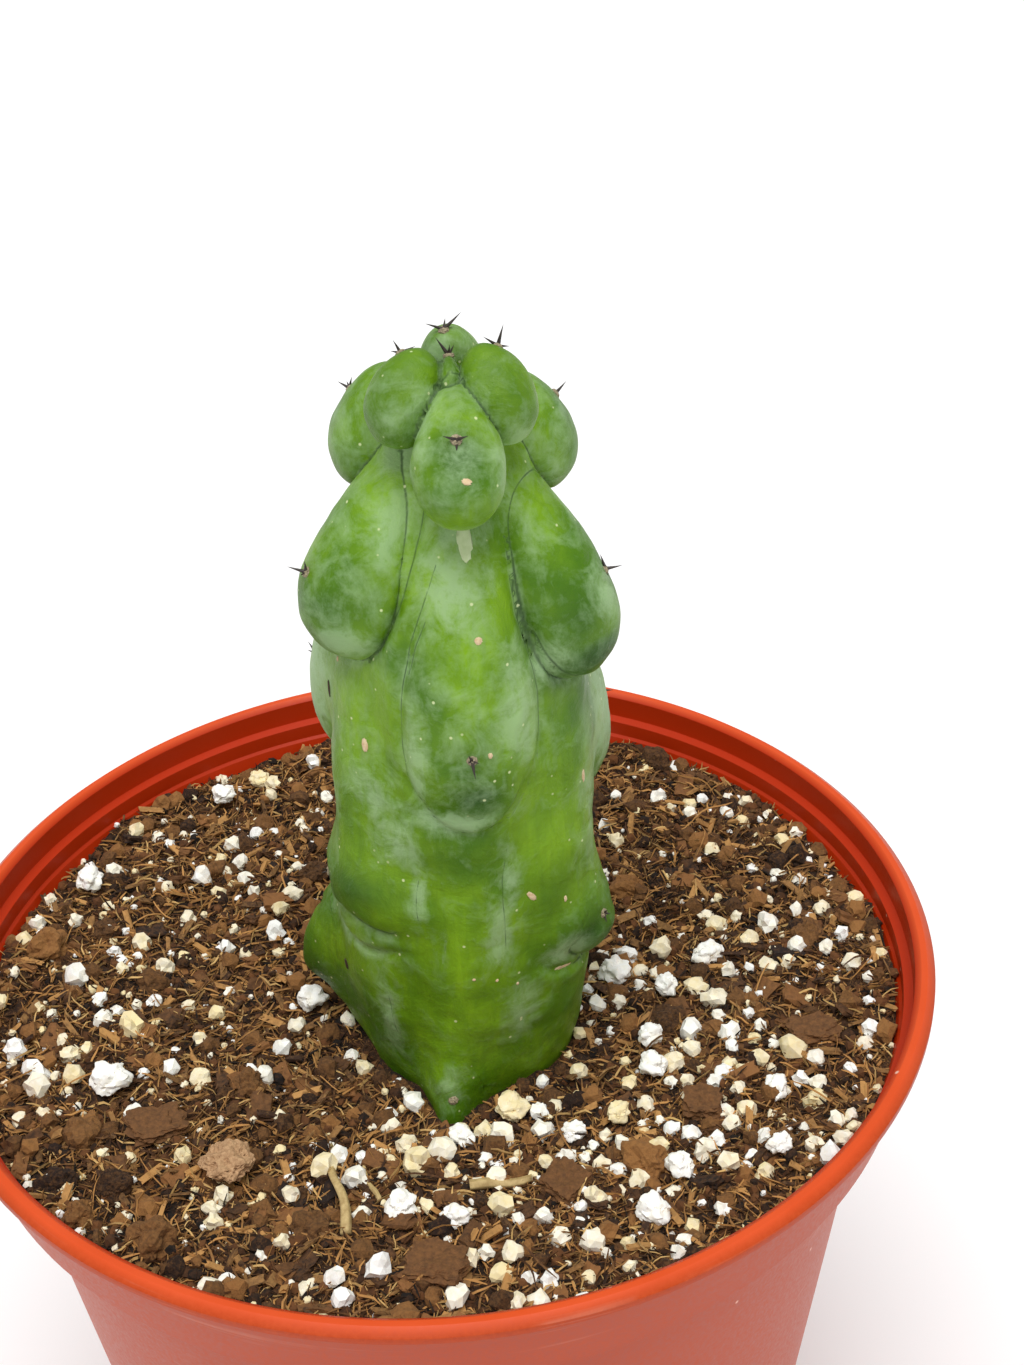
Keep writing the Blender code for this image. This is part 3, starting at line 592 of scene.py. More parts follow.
def pot_plastic():
    """Injection-moulded polypropylene in terracotta red: an even colour and a soft gloss, finely
    scuffed on the outside, with a few pale nicks; a darker mottled colour on the outer wall and the
    lip's outer face and a darker red on the inner wall are painted shade."""
    made, tree, place = new_material("terracotta_polypropylene", 0.42, Specular_IOR_Level=0.20)
    cloud = add_node(tree, "TexNoise", {"Vector": place, "Scale": per_mm(12), "Detail": 3.0})
    grain = add_node(
        tree, "TexNoise", {"Vector": place, "Scale": per_mm(0.7), "Detail": 4.0, "Roughness": 0.7},
    )
    side = add_node(tree, "Attribute", {}, "Fac", attribute_name="side")
    outside = add_node(tree, "Math", (side, 0.0), operation="MAXIMUM")
    # The inner wall takes a darker red, painted shade in the pot's recess
    inside = add_node(tree, "Math", (side, -1.0), operation="MULTIPLY")
    inside = add_node(tree, "Math", (inside, 0.0), operation="MAXIMUM")
    # Painted shade: the outer wall and the lip's outer face take a darker, mottled colour
    outer_shade_share = add_node(tree, "Math", (outside, 0.9), operation="MULTIPLY")
    mottled_outer_shade = add_node(tree, "Mix", {0: grain, 6: "#9c2f0c", 7: "#c8501e"}, 2, data_type="RGBA")

    # Scuffs run round the pot, in the cloudy parts of its outside only
    rings = add_node(tree, "Mapping", {"Vector": place, "Scale": (0.012, 0.012, 1.0)})
    scuff = add_node(tree, "TexNoise", {"Vector": rings, "Scale": per_mm(0.5), "Detail": 2.0})
    scuff = add_node(tree, "MapRange", (scuff, 0.62, 0.72, 0.0, 0.2))
    for share in (add_node(tree, "MapRange", (cloud, 0.45, 0.62)), outside):
        scuff = add_node(tree, "Math", (scuff, share), operation="MULTIPLY")

    dots = add_node(tree, "TexVoronoi", {"Vector": place, "Scale": per_mm(6.0)})
    chosen = add_node(tree, "SeparateColor", {"Color": dots.node.outputs["Color"]})
    chosen = add_node(tree, "MapRange", (chosen, 0.72, 0.78))
    nick = add_node(tree, "MapRange", (dots, 0.07, 0.03))
    nick = add_node(tree, "Math", (nick, chosen), operation="MULTIPLY")
    layers = (
        (cloud, "#e1582b"), (outer_shade_share, mottled_outer_shade), (inside, "#b42e06"), (scuff, "#e3a48c"), (nick, "#f6c9b4"),
    )
    gloss = add_node(tree, "MapRange", (grain, 0.3, 0.7, 0.32, 0.50))
    return dress(made, "#d24a1a", layers, grain, 0.25, 0.04, gloss)


def matted_peat():
    """Damp peat between the crumbs: near-black brown, matted with fine paler fibres."""
    made, tree, place = new_material("damp_peat_bed", 0.95)
    tone = add_node(tree, "TexNoise", {"Vector": place, "Scale": per_mm(3.0), "Detail": 5.0})
    webs = []
    for size, wander in ((1.7, 1.6), (1.1, 2.4)):
        web = add_node(
            tree, "TexNoise", {"Vector": place, "Scale": per_mm(size), "Detail": 1.0, "Distortion": wander},
        )
        off = add_node(tree, "Math", (web, 0.5), operation="SUBTRACT")
        off = add_node(tree, "Math", (off,), operation="ABSOLUTE")
        webs.append(add_node(tree, "MapRange", (off, 0.035, 0.0)))
    matted = add_node(tree, "Math", webs, operation="MAXIMUM")
    shown = add_node(tree, "MapRange", (tone, 0.40, 0.60, 0.25, 0.9))
    shown = add_node(tree, "Math", (matted, shown), operation="MULTIPLY")
    earth = add_node(tree, "MapRange", (tone, 0.35, 0.65))
    return dress(made, "#0d0602", ((earth, "#3e2410"), (shown, "#94683a")), matted, 0.7, 0.3)


def flat_grained(name, dark, light, size, roughness, bump_mm, tinted=False):
    """A matt grained finish between two colours; each tinted piece carries its own lightness."""
    made, tree, place = new_material(name, roughness)
    grain = add_node(
        tree, "TexNoise", {"Vector": place, "Scale": per_mm(size), "Detail": 5.0, "Roughness": 0.65},
    )
    level = add_node(tree, "MapRange", (grain, 0.15, 0.85))
    if tinted:
        tint = add_node(tree, "Attribute", {}, "Fac", attribute_name="tint")
        level = add_node(tree, "Math", (grain, tint), operation="ADD")
        level = add_node(tree, "MapRange", (level, 0.53, 1.37))
    return dress(made, dark, ((level, light),), grain, 0.6, bump_mm)


# ---------------------------------------------------------------- pot


def pull_rings(rings, sides):
    """Starts with a disc and pulls its face through the rings; leaves a closed turned body."""
    radius, height = rings[0]
    body = start_with(
        bpy.ops.mesh.primitive_circle_add,
        vertices=sides, radius=radius, fill_type="NGON", location=(0.0, 0.0, height),
    )
    bpy.ops.object.mode_set(mode="EDIT")
    bpy.ops.mesh.select_all(action="SELECT")
    for next_radius, next_height in rings[1:]:
        bpy.ops.mesh.extrude_region_move(
            TRANSFORM_OT_translate={"value": (0.0, 0.0, next_height - height)},
        )
        share = next_radius / radius
        bpy.ops.transform.resize(value=(share, share, 1.0))
        radius, height = next_radius, next_height
    bpy.ops.mesh.select_all(action="SELECT")
    bpy.ops.mesh.normals_make_consistent(inside=False)
    bpy.ops.object.mode_set(mode="OBJECT")
    return settle_place(body)


def body_radius(height):
    """The outside radius of the pot's taper at a height."""
    return BASE_RADIUS + (BODY_TOP_RADIUS - BASE_RADIUS) * height / SHOULDER_Z


def which_side(point):
    """1 on the pot's outside, -1 on its inside and 0 on the lip between them."""
    rise = (point.z - SHOULDER_Z) / (COLLAR_DEPTH - LIP_DEPTH)
    wall = body_radius(point.z) - WALL / 2
    if rise > 0.04:
        wall = COLLAR_RADIUS - 1.2 * MM + 2.4 * MM * rise
    if math.hypot(point.x, point.y) > wall:
        return 1.0 if point.z < RIM_Z - 0.9 * MM else 0.0
    return -1.0 if point.z < RIM_Z - 0.6 * MM else 0.0


def make_pot(material):
    """The turned shell with its collar, lip and ledges, drilled and with its edges eased."""
    inner = RIM_RADIUS - LIP_WIDTH
    collar = COLLAR_RADIUS + WALL
    ledge = COLLAR_RADIUS - LEDGE_STEP
    rings = [
        (BASE_RADIUS - 1.2 * MM, 0.0),
        (BASE_RADIUS + 0.2 * MM, 1.5 * MM),
        (body_radius(SHOULDER_Z * 0.5), SHOULDER_Z * 0.5),
        (body_radius(SHOULDER_Z), SHOULDER_Z),
        (collar - COLLAR_TAPER - 1.0 * MM, SHOULDER_Z),
        (collar - COLLAR_TAPER, SHOULDER_Z + 1.0 * MM),
        (collar, RIM_Z - LIP_DEPTH),
        (RIM_RADIUS, RIM_Z - LIP_DEPTH),
        (RIM_RADIUS, RIM_Z - 1.0 * MM),
        (RIM_RADIUS - 1.2 * MM, RIM_Z),
        (inner + 0.9 * MM, RIM_Z),
        (inner, RIM_Z - 0.7 * MM),
        (inner, RIM_Z - LEDGE_DEPTH),
        (ledge, RIM_Z - LEDGE_DEPTH - 0.4 * MM),
        (ledge, RIM_Z - SECOND_LEDGE_DEPTH),
        (ledge - 0.5 * MM, RIM_Z - SECOND_LEDGE_DEPTH - 0.4 * MM),
        (ledge - COLLAR_TAPER, SHOULDER_Z + STEP_RISE + 1.2 * MM),
        (body_radius(SHOULDER_Z) - WALL, SHOULDER_Z + STEP_RISE),
        (BASE_RADIUS - WALL - 1.0 * MM, FLOOR_THICKNESS),
    ]
    pot = pull_rings(rings, POT_SIDES)
    pot.name = "pot_shell"
    for hole in range(DRAIN_HOLES):
        angle = math.tau * (hole + 0.5) / DRAIN_HOLES
        drill = start_with(
            bpy.ops.mesh.primitive_cylinder_add,
            vertices=40, radius=DRAIN_HOLE_RADIUS, depth=FLOOR_THICKNESS * 3,
            location=(DRAIN_CIRCLE * math.cos(angle), DRAIN_CIRCLE * math.sin(angle), 0.0),
        )
        apply_modifier(pot, "BOOLEAN", object=drill, operation="DIFFERENCE", solver="EXACT")
        bpy.data.objects.remove(drill)
    apply_modifier(
        pot, "BEVEL", width=EDGE_BEVEL, segments=3, limit_method="ANGLE",
        angle_limit=math.radians(25), harden_normals=False,
    )
    # Which side each point lies on; the finish paints shade on the outer and inner walls from it
    set_attribute(pot.data, "side", [which_side(vert.co) for vert in pot.data.vertices])
    return finish_piece(smooth(pot, 40), "pot_plastic", material, "nursery_pot")


# ---------------------------------------------------------------- stem


def axis_at(height):
    """Where the stem's leaning axis is at a height above the rim, in millimetres."""
    rise = height - AXIS_START
    return AXIS_FOOT[0] + AXIS_LEAN[0] * rise, AXIS_FOOT[1] + AXIS_LEAN[1] * rise


def lump_frame(lump):
    """A lump's centre and its three directions: across, away from the stem, and along."""
    _, azimuth, height, distance, _, _, _, tilt, *_ = lump
    turn, tilt = math.radians(azimuth), math.radians(tilt)
    away = np.array([math.sin(turn), -math.cos(turn), 0.0])
    across = np.array([math.cos(turn), math.sin(turn), 0.0])
    up = np.array([0.0, 0.0, 1.0])
    along = up * math.cos(tilt) - away * math.sin(tilt)
    face = away * math.cos(tilt) + up * math.sin(tilt)
    x, y = axis_at(height)
    return np.array([x, y, height]) + away * distance, across, face, along


def blank_lump(lump):
    """A ball pulled into the lump's egg shape, with its place in its mesh."""
    length, width, depth, taper = lump[4], lump[5], lump[6], lump[8]
    centre, across, face, along = lump_frame(lump)
    ball = start_with(bpy.ops.mesh.primitive_uv_sphere_add, segments=32, ring_count=20, radius=1.0)
    local = coordinates(ball.data)
    swell = 1.0 + taper * local[:, 2:3]
    points = (
        centre + local[:, 0:1] * swell * across * width / 2
        + local[:, 1:2] * swell * face * depth / 2 + local[:, 2:3] * along * length / 2
    )
    set_coordinates(ball.data, (points + [0.0, 0.0, RIM_Z / MM]) * MM)
    return ball


def blank_column():
    """The turned column inside the lumps, leant along the stem's axis."""
    rings = [(radius * MM, RIM_Z + height * MM) for height, radius in COLUMN]
    column = pull_rings(rings, 64)
    points = coordinates(column.data)
    x, y = axis_at((points[:, 2] - RIM_Z) / MM)
    points[:, 0] += x * MM
    points[:, 1] += y * MM
    set_coordinates(column.data, points)
    return column


def around_axis(points):
    """Each point's azimuth in radians and its distance from the stem's axis."""
    x, y = axis_at(points[:, 2])
    out_x, out_y = points[:, 0] - x, points[:, 1] - y
    return np.arctan2(out_x, -out_y), np.hypot(out_x, out_y)


def column_distance(points):
    """Roughly how far outside the faintly ribbed column each point is."""
    height = points[:, 2]
    turn, out = around_axis(points)
    radius = np.interp(height, [h for h, _ in COLUMN], [r for _, r in COLUMN])
    ribbed = radius * (1.0 + 0.03 * np.cos(6.0 * turn) * np.clip((height + 20.0) / 30.0, 0.0, 1.0))
    return np.maximum(out - ribbed, np.maximum(height - COLUMN[-1][0] - 1.0, COLUMN[0][0] - height))


def lump_distance(points, lump):
    """Roughly how far outside the egg each point is, and where along its length it lies."""
    length, width, depth, taper = lump[4], lump[5], lump[6], lump[8]
    centre, across, face, along = lump_frame(lump)
    local = points - centre
    x, y, z = local @ across, local @ face, local @ along
    share = np.clip(z / (length / 2), -1.0, 1.0)
    swell = 1.0 + taper * share
    size = np.sqrt(
        (x / (width / 2 * swell)) ** 2 + (y / (depth / 2 * swell)) ** 2 + (z / (length / 2)) ** 2
    )
    return np.sqrt(x * x + y * y + z * z) * (1.0 - 1.0 / (size + 1e-9)), share


def stem_distance(points):
    """Distance outside the whole stem, the signed gap to the nearest crease, and how sharp it is."""
    total = column_distance(points)
    crease = np.zeros(len(points))
    gap = np.full(len(points), 9.0)
    sharp = np.ones(len(points))
    for lump in LUMPS:
        upper, lower = lump[9], lump[10]
        distance, share = lump_distance(points, lump)
        rise = np.clip(share + 0.7, 0.0, 1.0)
        rise = rise * rise * (3.0 - 2.0 * rise)
        softness = lower + (upper - lower) * rise
        hard = np.clip(1.6 / softness - 0.35, 0.0, 1.0)
        buried = np.maximum(np.minimum(total, distance) - 0.4, 0.0)
        between = total - distance
        near = np.exp(-(between / GROOVE_WIDTH) ** 2) * np.exp(-2.0 * buried)
        crease = np.maximum(crease, near * hard)
        blend = np.maximum(softness - np.abs(between), 0.0) / softness
        between = np.sign(between) * (np.abs(between) + 4.0 * buried)
        nearer = np.abs(between) / np.maximum(hard, 0.05) < np.abs(gap) / sharp
        gap = np.where(nearer, between, gap)
        sharp = np.where(nearer, np.maximum(hard, 0.05), sharp)
        total = np.minimum(total, distance) - blend * blend * softness * 0.25
    return total + GROOVE_DEPTH * crease, gap, sharp


def neighbour_mean(mesh, points):
    """The middle of each point's neighbours."""
    first, second = edge_ends(mesh)
    count = np.bincount(first, minlength=len(points)) + np.bincount(second, minlength=len(points))
    total = np.empty_like(points)
    for axis in range(3):
        total[:, axis] = np.bincount(first, points[second, axis], len(points))
        total[:, axis] += np.bincount(second, points[first, axis], len(points))
    return total / np.maximum(count, 1)[:, None]


def gap_on_skin(mesh, points, gap):
    """The gap measured along the skin, so that every crease's painted shade line is drawn equally wide."""
    first, second = edge_ends(mesh)
    slope = np.abs(gap[first] - gap[second]) / np.linalg.norm(points[first] - points[second], axis=1)
    steepest = np.zeros(len(points))
    np.maximum.at(steepest, first, slope)
    np.maximum.at(steepest, second, slope)
    return gap / np.clip(steepest, 0.3, 2.0)


def sculpt_stem(mesh):
    """Draws the remeshed skin on to the blended lumps, keeping the points evenly spread."""
    rim = np.array([0.0, 0.0, RIM_Z / MM])
    points = coordinates(mesh) / MM - rim
    reach = 0.8 * STEM_VOXEL
    for step in range(SCULPT_STEPS):
        distance, _, _ = stem_distance(points)
        points = points - coordinates(mesh, "normal") * np.clip(distance * 0.8, -reach, reach)[:, None]
        if step in SMOOTHED_STEPS:
            points += (neighbour_mean(mesh, points) - points) * 0.45
        set_coordinates(mesh, (points + rim) * MM)
    return points


def fall_off(points, spot, reach):
    """1 at a spot, fading to nothing over a reach in millimetres."""
    away = np.linalg.norm(points - np.array(spot), axis=1)
    return np.exp(-(away / reach) ** 2)


def turn_between(azimuth, other):
    """The turn from one azimuth to another, from -180 to 180 degrees."""
    return (azimuth - other + 180.0) % 360.0 - 180.0


def cut_corners(line):
    """A line's points with its corners cut twice, so that it runs in a curve."""
    for _ in range(2):
        softer = [line[0]]
        for (ax, ay), (bx, by) in zip(line, line[1:]):
            for share in (0.25, 0.75):
                softer.append((ax * (1.0 - share) + bx * share, ay * (1.0 - share) + by * share))
        line = softer + [line[-1]]
    return line


def distance_to_fold(azimuth, radius, height, line):
    """Signed distance to a fold's line on the unrolled skin, and how far along it, 0 to 1."""
    line = cut_corners(line)
    best = np.full(len(height), 1e6)
    side = np.ones(len(height))
    along = np.zeros(len(height))
    for number, ((a_turn, a_up), (b_turn, b_up)) in enumerate(zip(line, line[1:])):
        ax = -np.radians(turn_between(azimuth, a_turn)) * radius
        ay = a_up - height
        bx = -np.radians(turn_between(azimuth, b_turn)) * radius
        by = b_up - height
        run_x, run_y = bx - ax, by - ay
        share = np.clip(-(ax * run_x + ay * run_y) / (run_x ** 2 + run_y ** 2 + 1e-9), 0.0, 1.0)
        distance = np.hypot(ax + run_x * share, ay + run_y * share)
        closer = distance < best
        best = np.where(closer, distance, best)
        side = np.where(closer, np.sign(run_x * -ay + run_y * ax), side)
        along = np.where(closer, (number + share) / (len(line) - 1), along)
    return best * side, along


def fold_skin(points, gap):
    """How far each point sinks or rises at the folds, and the gap to the nearest drawn line of painted
    crease shade.
    """
    angle, radius = around_axis(points)
    azimuth = np.degrees(angle)
    clear_of_axis = radius > 8.0
    move = np.zeros(len(points))
    for _, line, depth, width, lift, dark in FOLDS:
        signed, along = distance_to_fold(azimuth, radius, points[:, 2], line)
        ends = np.sin(np.clip(along, 0.02, 0.98) * math.pi) ** 0.4 * clear_of_axis
        distance = np.abs(signed)
        groove = np.exp(-(distance / width) ** 2)
        move -= depth * groove * ends
        stand = np.where(signed * np.sign(lift) > 0.0, abs(lift), 0.0)
        move += stand * (1.0 - groove) * np.exp(-distance / FOLD_REACH) * ends
        drawn = signed / np.maximum(dark * ends, 0.05)
        gap = np.where(np.abs(drawn) < np.abs(gap), drawn, gap)
    return move, gap


def patch_strength(points, patches):
    """How strongly each point takes part in the patches, from 0 to 1."""
    angle, radius = around_axis(points)
    azimuth = np.degrees(angle)
    total = np.zeros(len(points))
    for turn, height, wide, tall, strength in patches:
        across = np.radians(turn_between(azimuth, turn)) * radius / wide
        up = (points[:, 2] - height) / tall
        total = np.maximum(total, strength * np.exp(-(across ** 2 + up ** 2) * 0.7))
    return total


def make_stem(material):
    """The stem's one skin: lumps and column remeshed together, sculpted, folded and marked."""
    stem = join_all([blank_column()] + [blank_lump(lump) for lump in LUMPS], "cactus_body")
    mesh = stem.data
    apply_modifier(stem, "REMESH", mode="VOXEL", voxel_size=STEM_VOXEL * MM)
    points = sculpt_stem(mesh)
    _, gap, sharp = stem_distance(points)
    move, gap = fold_skin(points, gap_on_skin(mesh, points, gap) / sharp)
    wave = np.array([
        noise.noise(Vector(p) / BROAD_WAVE[0]) * BROAD_WAVE[1]
        + noise.noise(Vector(p) / FINE_WAVE[0] + UP) * FINE_WAVE[1] for p in points
    ])
    dent = np.zeros(len(points))
    # Painted shade under each spine cluster, laid into the dark attribute
    shade_under_clusters = np.zeros(len(points))
    for _, spot, _ in CLUSTERS:
        dent += fall_off(points, spot, 1.3) * CUSHION_DENT
        shade_under_clusters = np.maximum(shade_under_clusters, fall_off(points, np.array(spot) - [0.0, 0.0, 2.5], 4.5) * 0.7)
    points = points + coordinates(mesh, "normal") * (move + wave - dent)[:, None]
    set_coordinates(mesh, (points + [0.0, 0.0, RIM_Z / MM]) * MM)
    # The gap draws the painted shade line in each crease
    set_attribute(mesh, "gap", np.clip(gap, -9.0, 9.0))
    set_attribute(mesh, "gap_size", np.minimum(np.abs(gap), 9.0))
    # The dark attribute holds darker skin and painted shade under the swellings and spine clusters
    set_attribute(mesh, "dark", np.maximum(shade_under_clusters, patch_strength(points, DARK_SKIN_AND_SHADE_PATCHES)))
    set_attribute(mesh, "bloom", patch_strength(points, BLOOM_PATCHES))
    set_attribute(mesh, "fresh", patch_strength(points, FRESH_PATCHES))
    return finish_piece(smooth(stem), "cactus_skin", material, "cactus_stem")


def make_marks(name, marks, skin, material):
    """Small healed scars: flat uneven pads let into the skin, joined into one piece. Each seat
    is found by a ray from well outside the skin towards the axis."""
    pads = []
    for number, (azimuth, height, wide, tall, turn) in enumerate(marks):
        angle = math.radians(azimuth)
        away = Vector((math.sin(angle), -math.cos(angle), 0.0))
        x, y = axis_at(height)
        middle = Vector((x * MM, y * MM, RIM_Z + height * MM))
        seat, normal, _, _ = skin.ray_cast(middle + away * 0.06, -away)
        pad = start_with(bpy.ops.mesh.primitive_uv_sphere_add, segments=20, ring_count=10, radius=1.0)
        for vert in pad.data.vertices:
            ragged = 1.0 + 0.35 * noise.noise(vert.co * 2.5 + along_x(number * 3.0))
            vert.co = Vector((vert.co.x * wide * ragged, vert.co.y * tall * ragged, vert.co.z * 0.16)) * MM
        facing = normal.to_track_quat("Z", "Y").to_matrix().to_4x4()
        pad.data.transform(Matrix.Translation(seat) @ facing @ Matrix.Rotation(math.radians(turn), 4, "Z"))
        pads.append(smooth(pad))
    return finish_piece(join_all(pads, name), "cactus_skin", material)


# ---------------------------------------------------------------- spines


def make_spine(length, bow):
    """A bowed cone one spine long, standing on the origin."""
    spine = settle_place(start_with(
        bpy.ops.mesh.primitive_cone_add,
        vertices=8, radius1=(0.20 + 0.045 * length) * MM, radius2=0.015 * MM, depth=length * MM,
        location=(0.0, 0.0, length * MM / 2),
    ))
    cut_across(spine, [length * MM * share for share in (0.3, 0.65)])
    for vert in spine.data.vertices:
        vert.co.x += bow * vert.co.z ** 2 / (length * MM)
    return spine


def make_cluster(name, spot, spines, skin, seed, horn, felt):
    """A felt cushion on the skin and its short stiff spines."""
    draw = random.Random(seed)
    seat, normal, _, _ = skin.find_nearest(Vector(spot) * MM + along_z(RIM_Z))
    pad = start_with(
        bpy.ops.mesh.primitive_uv_sphere_add, segments=20, ring_count=12, radius=FELT_SIZE * MM,
    )
    for vert in pad.data.vertices:
        fuzz = noise.noise(vert.co / (0.22 * MM) + along_x(seed))
        vert.co = vert.co * (1.0 + 0.3 * fuzz)
        vert.co.z *= 0.6
    pad.data.transform(Matrix.Translation(seat) @ normal.to_track_quat("Z", "Y").to_matrix().to_4x4())
    pad.name = "felt_" + name
    finish_piece(pad, "spines", felt)
    made = []
    for direction, length in spines:
        spine = make_spine(length, draw.uniform(-0.12, 0.12))
        turned = Vector(direction).to_track_quat("Z", "Y").to_matrix().to_4x4()
        foot = seat - Vector(direction).normalized() * 0.15 * MM + normal * 0.1 * MM
        spine.data.transform(Matrix.Translation(foot) @ turned)
        made.append(spine)
    thorns = smooth(join_all(made, "thorns_" + name), 60)
    finish_piece(thorns, "spines", horn)
    if name != "front_nose":
        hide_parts("spines_" + name)


# ---------------------------------------------------------------- potting mix


def mix_height(x, y):
    """The top of the mix: lower round the stem, with long low waves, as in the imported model."""
    middle_x, middle_y = axis_at(0.0)
    distance = math.hypot(x - middle_x * MM, y - middle_y * MM)
    share = min(1.0, max(0.0, (distance - SLOPE_START) / SLOPE_WIDTH))
    depth = MIX_FOOT_DEPTH + (MIX_EDGE_DEPTH - MIX_FOOT_DEPTH) * share
    waves = math.sin(x * 95.0 + 1.3) * math.cos(y * 120.0 - 0.4) * MIX_WAVES
    return RIM_Z - depth + waves


def rough_height(x, y):
    """The crumbly relief on the mix, in three sizes of crumb."""
    spot = Vector((x, y, 0.0)) / MM
    lumps = noise.noise(spot / 8.0) * 1.7
    crumbs = noise.noise(spot / 3.0 + UP * 3.0) * 1.2
    grit = noise.noise(spot / 1.2 + UP * 7.0) * 0.5
    return (lumps + crumbs + grit) * MM


def make_mix(material):
    """The bed of mix that fills the pot, its top pulled into rings and roughened."""
    shoulder = SHOULDER_Z + STEP_RISE
    top = RIM_Z - MIX_EDGE_DEPTH
    edge = COLLAR_RADIUS - LEDGE_STEP - 0.9 * MM
    steps = int((edge - 1.0 * MM) / MIX_RING_STEP)
    rings = [
        (BASE_RADIUS - WALL - 1.6 * MM, MIX_LOW.z),
        (body_radius(SHOULDER_Z) - WALL - 0.6 * MM, shoulder + 0.4 * MM),
        (COLLAR_RADIUS - COLLAR_TAPER - LEDGE_STEP - 0.5 * MM, shoulder + 2.4 * MM),
        (edge, top),
    ]
    rings += [(edge - MIX_RING_STEP * ring, top) for ring in range(1, steps)]
    mix = pull_rings(rings, MIX_SIDES)
    mix.name = "mix_bed"
    for vert in mix.data.vertices:
        if vert.co.z > top - 0.01 * MM:
            vert.co.z = mix_height(vert.co.x, vert.co.y) + rough_height(vert.co.x, vert.co.y)
    return finish_piece(smooth(mix, 35), "potting_mix", material, "potting_mix")


def shape_data(obj):
    """A model's points and faces, and the model itself is taken away."""
    points = coordinates(obj.data)
    faces = [tuple(face.vertices) for face in obj.data.polygons]
    bpy.data.objects.remove(obj)
    return points, faces


def broken_grain(seed, subdivisions, roughness, pits=0.0):
    """A ball knocked into a broken grain about one unit across, with open pores in its skin."""
    draw = random.Random(seed)
    grain = start_with(bpy.ops.mesh.primitive_ico_sphere_add, subdivisions=subdivisions, radius=0.5)
    knocks = [Vector([draw.uniform(-1.0, 1.0) for _ in range(3)]).normalized() for _ in range(6)]
    for vert in grain.data.vertices:
        facing = vert.co.normalized()
        flat = max(0.0, max(facing.dot(knock) for knock in knocks) - 0.45)
        rough = noise.noise(facing * 1.7 + along_x(seed))
        knobs = noise.noise(facing * 5.0 + along_y(seed))
        pore = max(0.0, noise.noise(facing * 13.0 + along_z(seed)) - 0.25)
        vert.co = vert.co * (1.0 - 0.5 * flat + roughness * rough + roughness * 0.35 * knobs - pits * pore)
    return shape_data(grain)


def chip_shape(seed, slim=1.0, cuts=2):
    """A split chip: a block with uneven ends and torn edges, one unit long."""
    draw = random.Random(seed)
    chip = cut_block(cuts)
    wide, thick = draw.uniform(0.35, 0.65) * slim, draw.uniform(0.14, 0.3) * slim
    for vert in chip.data.vertices:
        torn = noise.noise(vert.co * 3.0 + along_x(seed))
        vert.co.x *= 1.0 + 0.35 * torn
        vert.co.y *= wide * (1.0 + 0.5 * noise.noise(vert.co * 4.0 + along_y(seed)))
        vert.co.z *= thick * (1.0 + 0.6 * noise.noise(vert.co * 5.0 + along_z(seed)))
    return shape_data(chip)


def fibre_shape(seed, thickness, curl, pieces):
    """A bent strand one unit long, three-sided, drawn out at both ends."""
    draw = random.Random(seed)
    strand = start_with(bpy.ops.mesh.primitive_cylinder_add, vertices=3, radius=thickness, depth=1.0)
    cut_across(strand, [cut / pieces - 0.5 for cut in range(1, pieces)])
    bends = [draw.uniform(-curl, curl) for _ in range(4)]
    for vert in strand.data.vertices:
        along = vert.co.z + 0.5
        taper = 1.0 - 0.6 * abs(2.0 * along - 1.0) ** 3
        arch, wave = math.sin(along * math.pi), math.sin(along * math.tau)
        vert.co.x = vert.co.x * taper + bends[0] * arch + bends[1] * wave * 0.5
        vert.co.y = vert.co.y * taper * 0.6 + bends[2] * arch + bends[3] * wave * 0.4
    strand.data.transform(Matrix.Rotation(math.radians(90.0), 4, "Y"))
    return shape_data(strand)


def scatter(name, shapes, placings):
    """One mesh holding a copy of a shape at every placing: (shape, matrix, tint)."""
    points, faces, tints, first = [], [], [], 0
    for which, matrix, tint in placings:
        base_points, base_faces = shapes[which % len(shapes)]
        turned = np.array(matrix.to_3x3())
        points.append(base_points @ turned.T + np.array(matrix.translation))
        faces.extend([tuple(first + corner for corner in face) for face in base_faces])
        tints.append(np.full(len(base_points), tint))
        first += len(base_points)
    mesh = bpy.data.meshes.new(name)
    mesh.from_pydata(np.concatenate(points).tolist(), [], faces)
    set_attribute(mesh, "tint", np.concatenate(tints))
    obj = bpy.data.objects.new(name, mesh)
    bpy.context.scene.collection.objects.link(obj)
    return obj


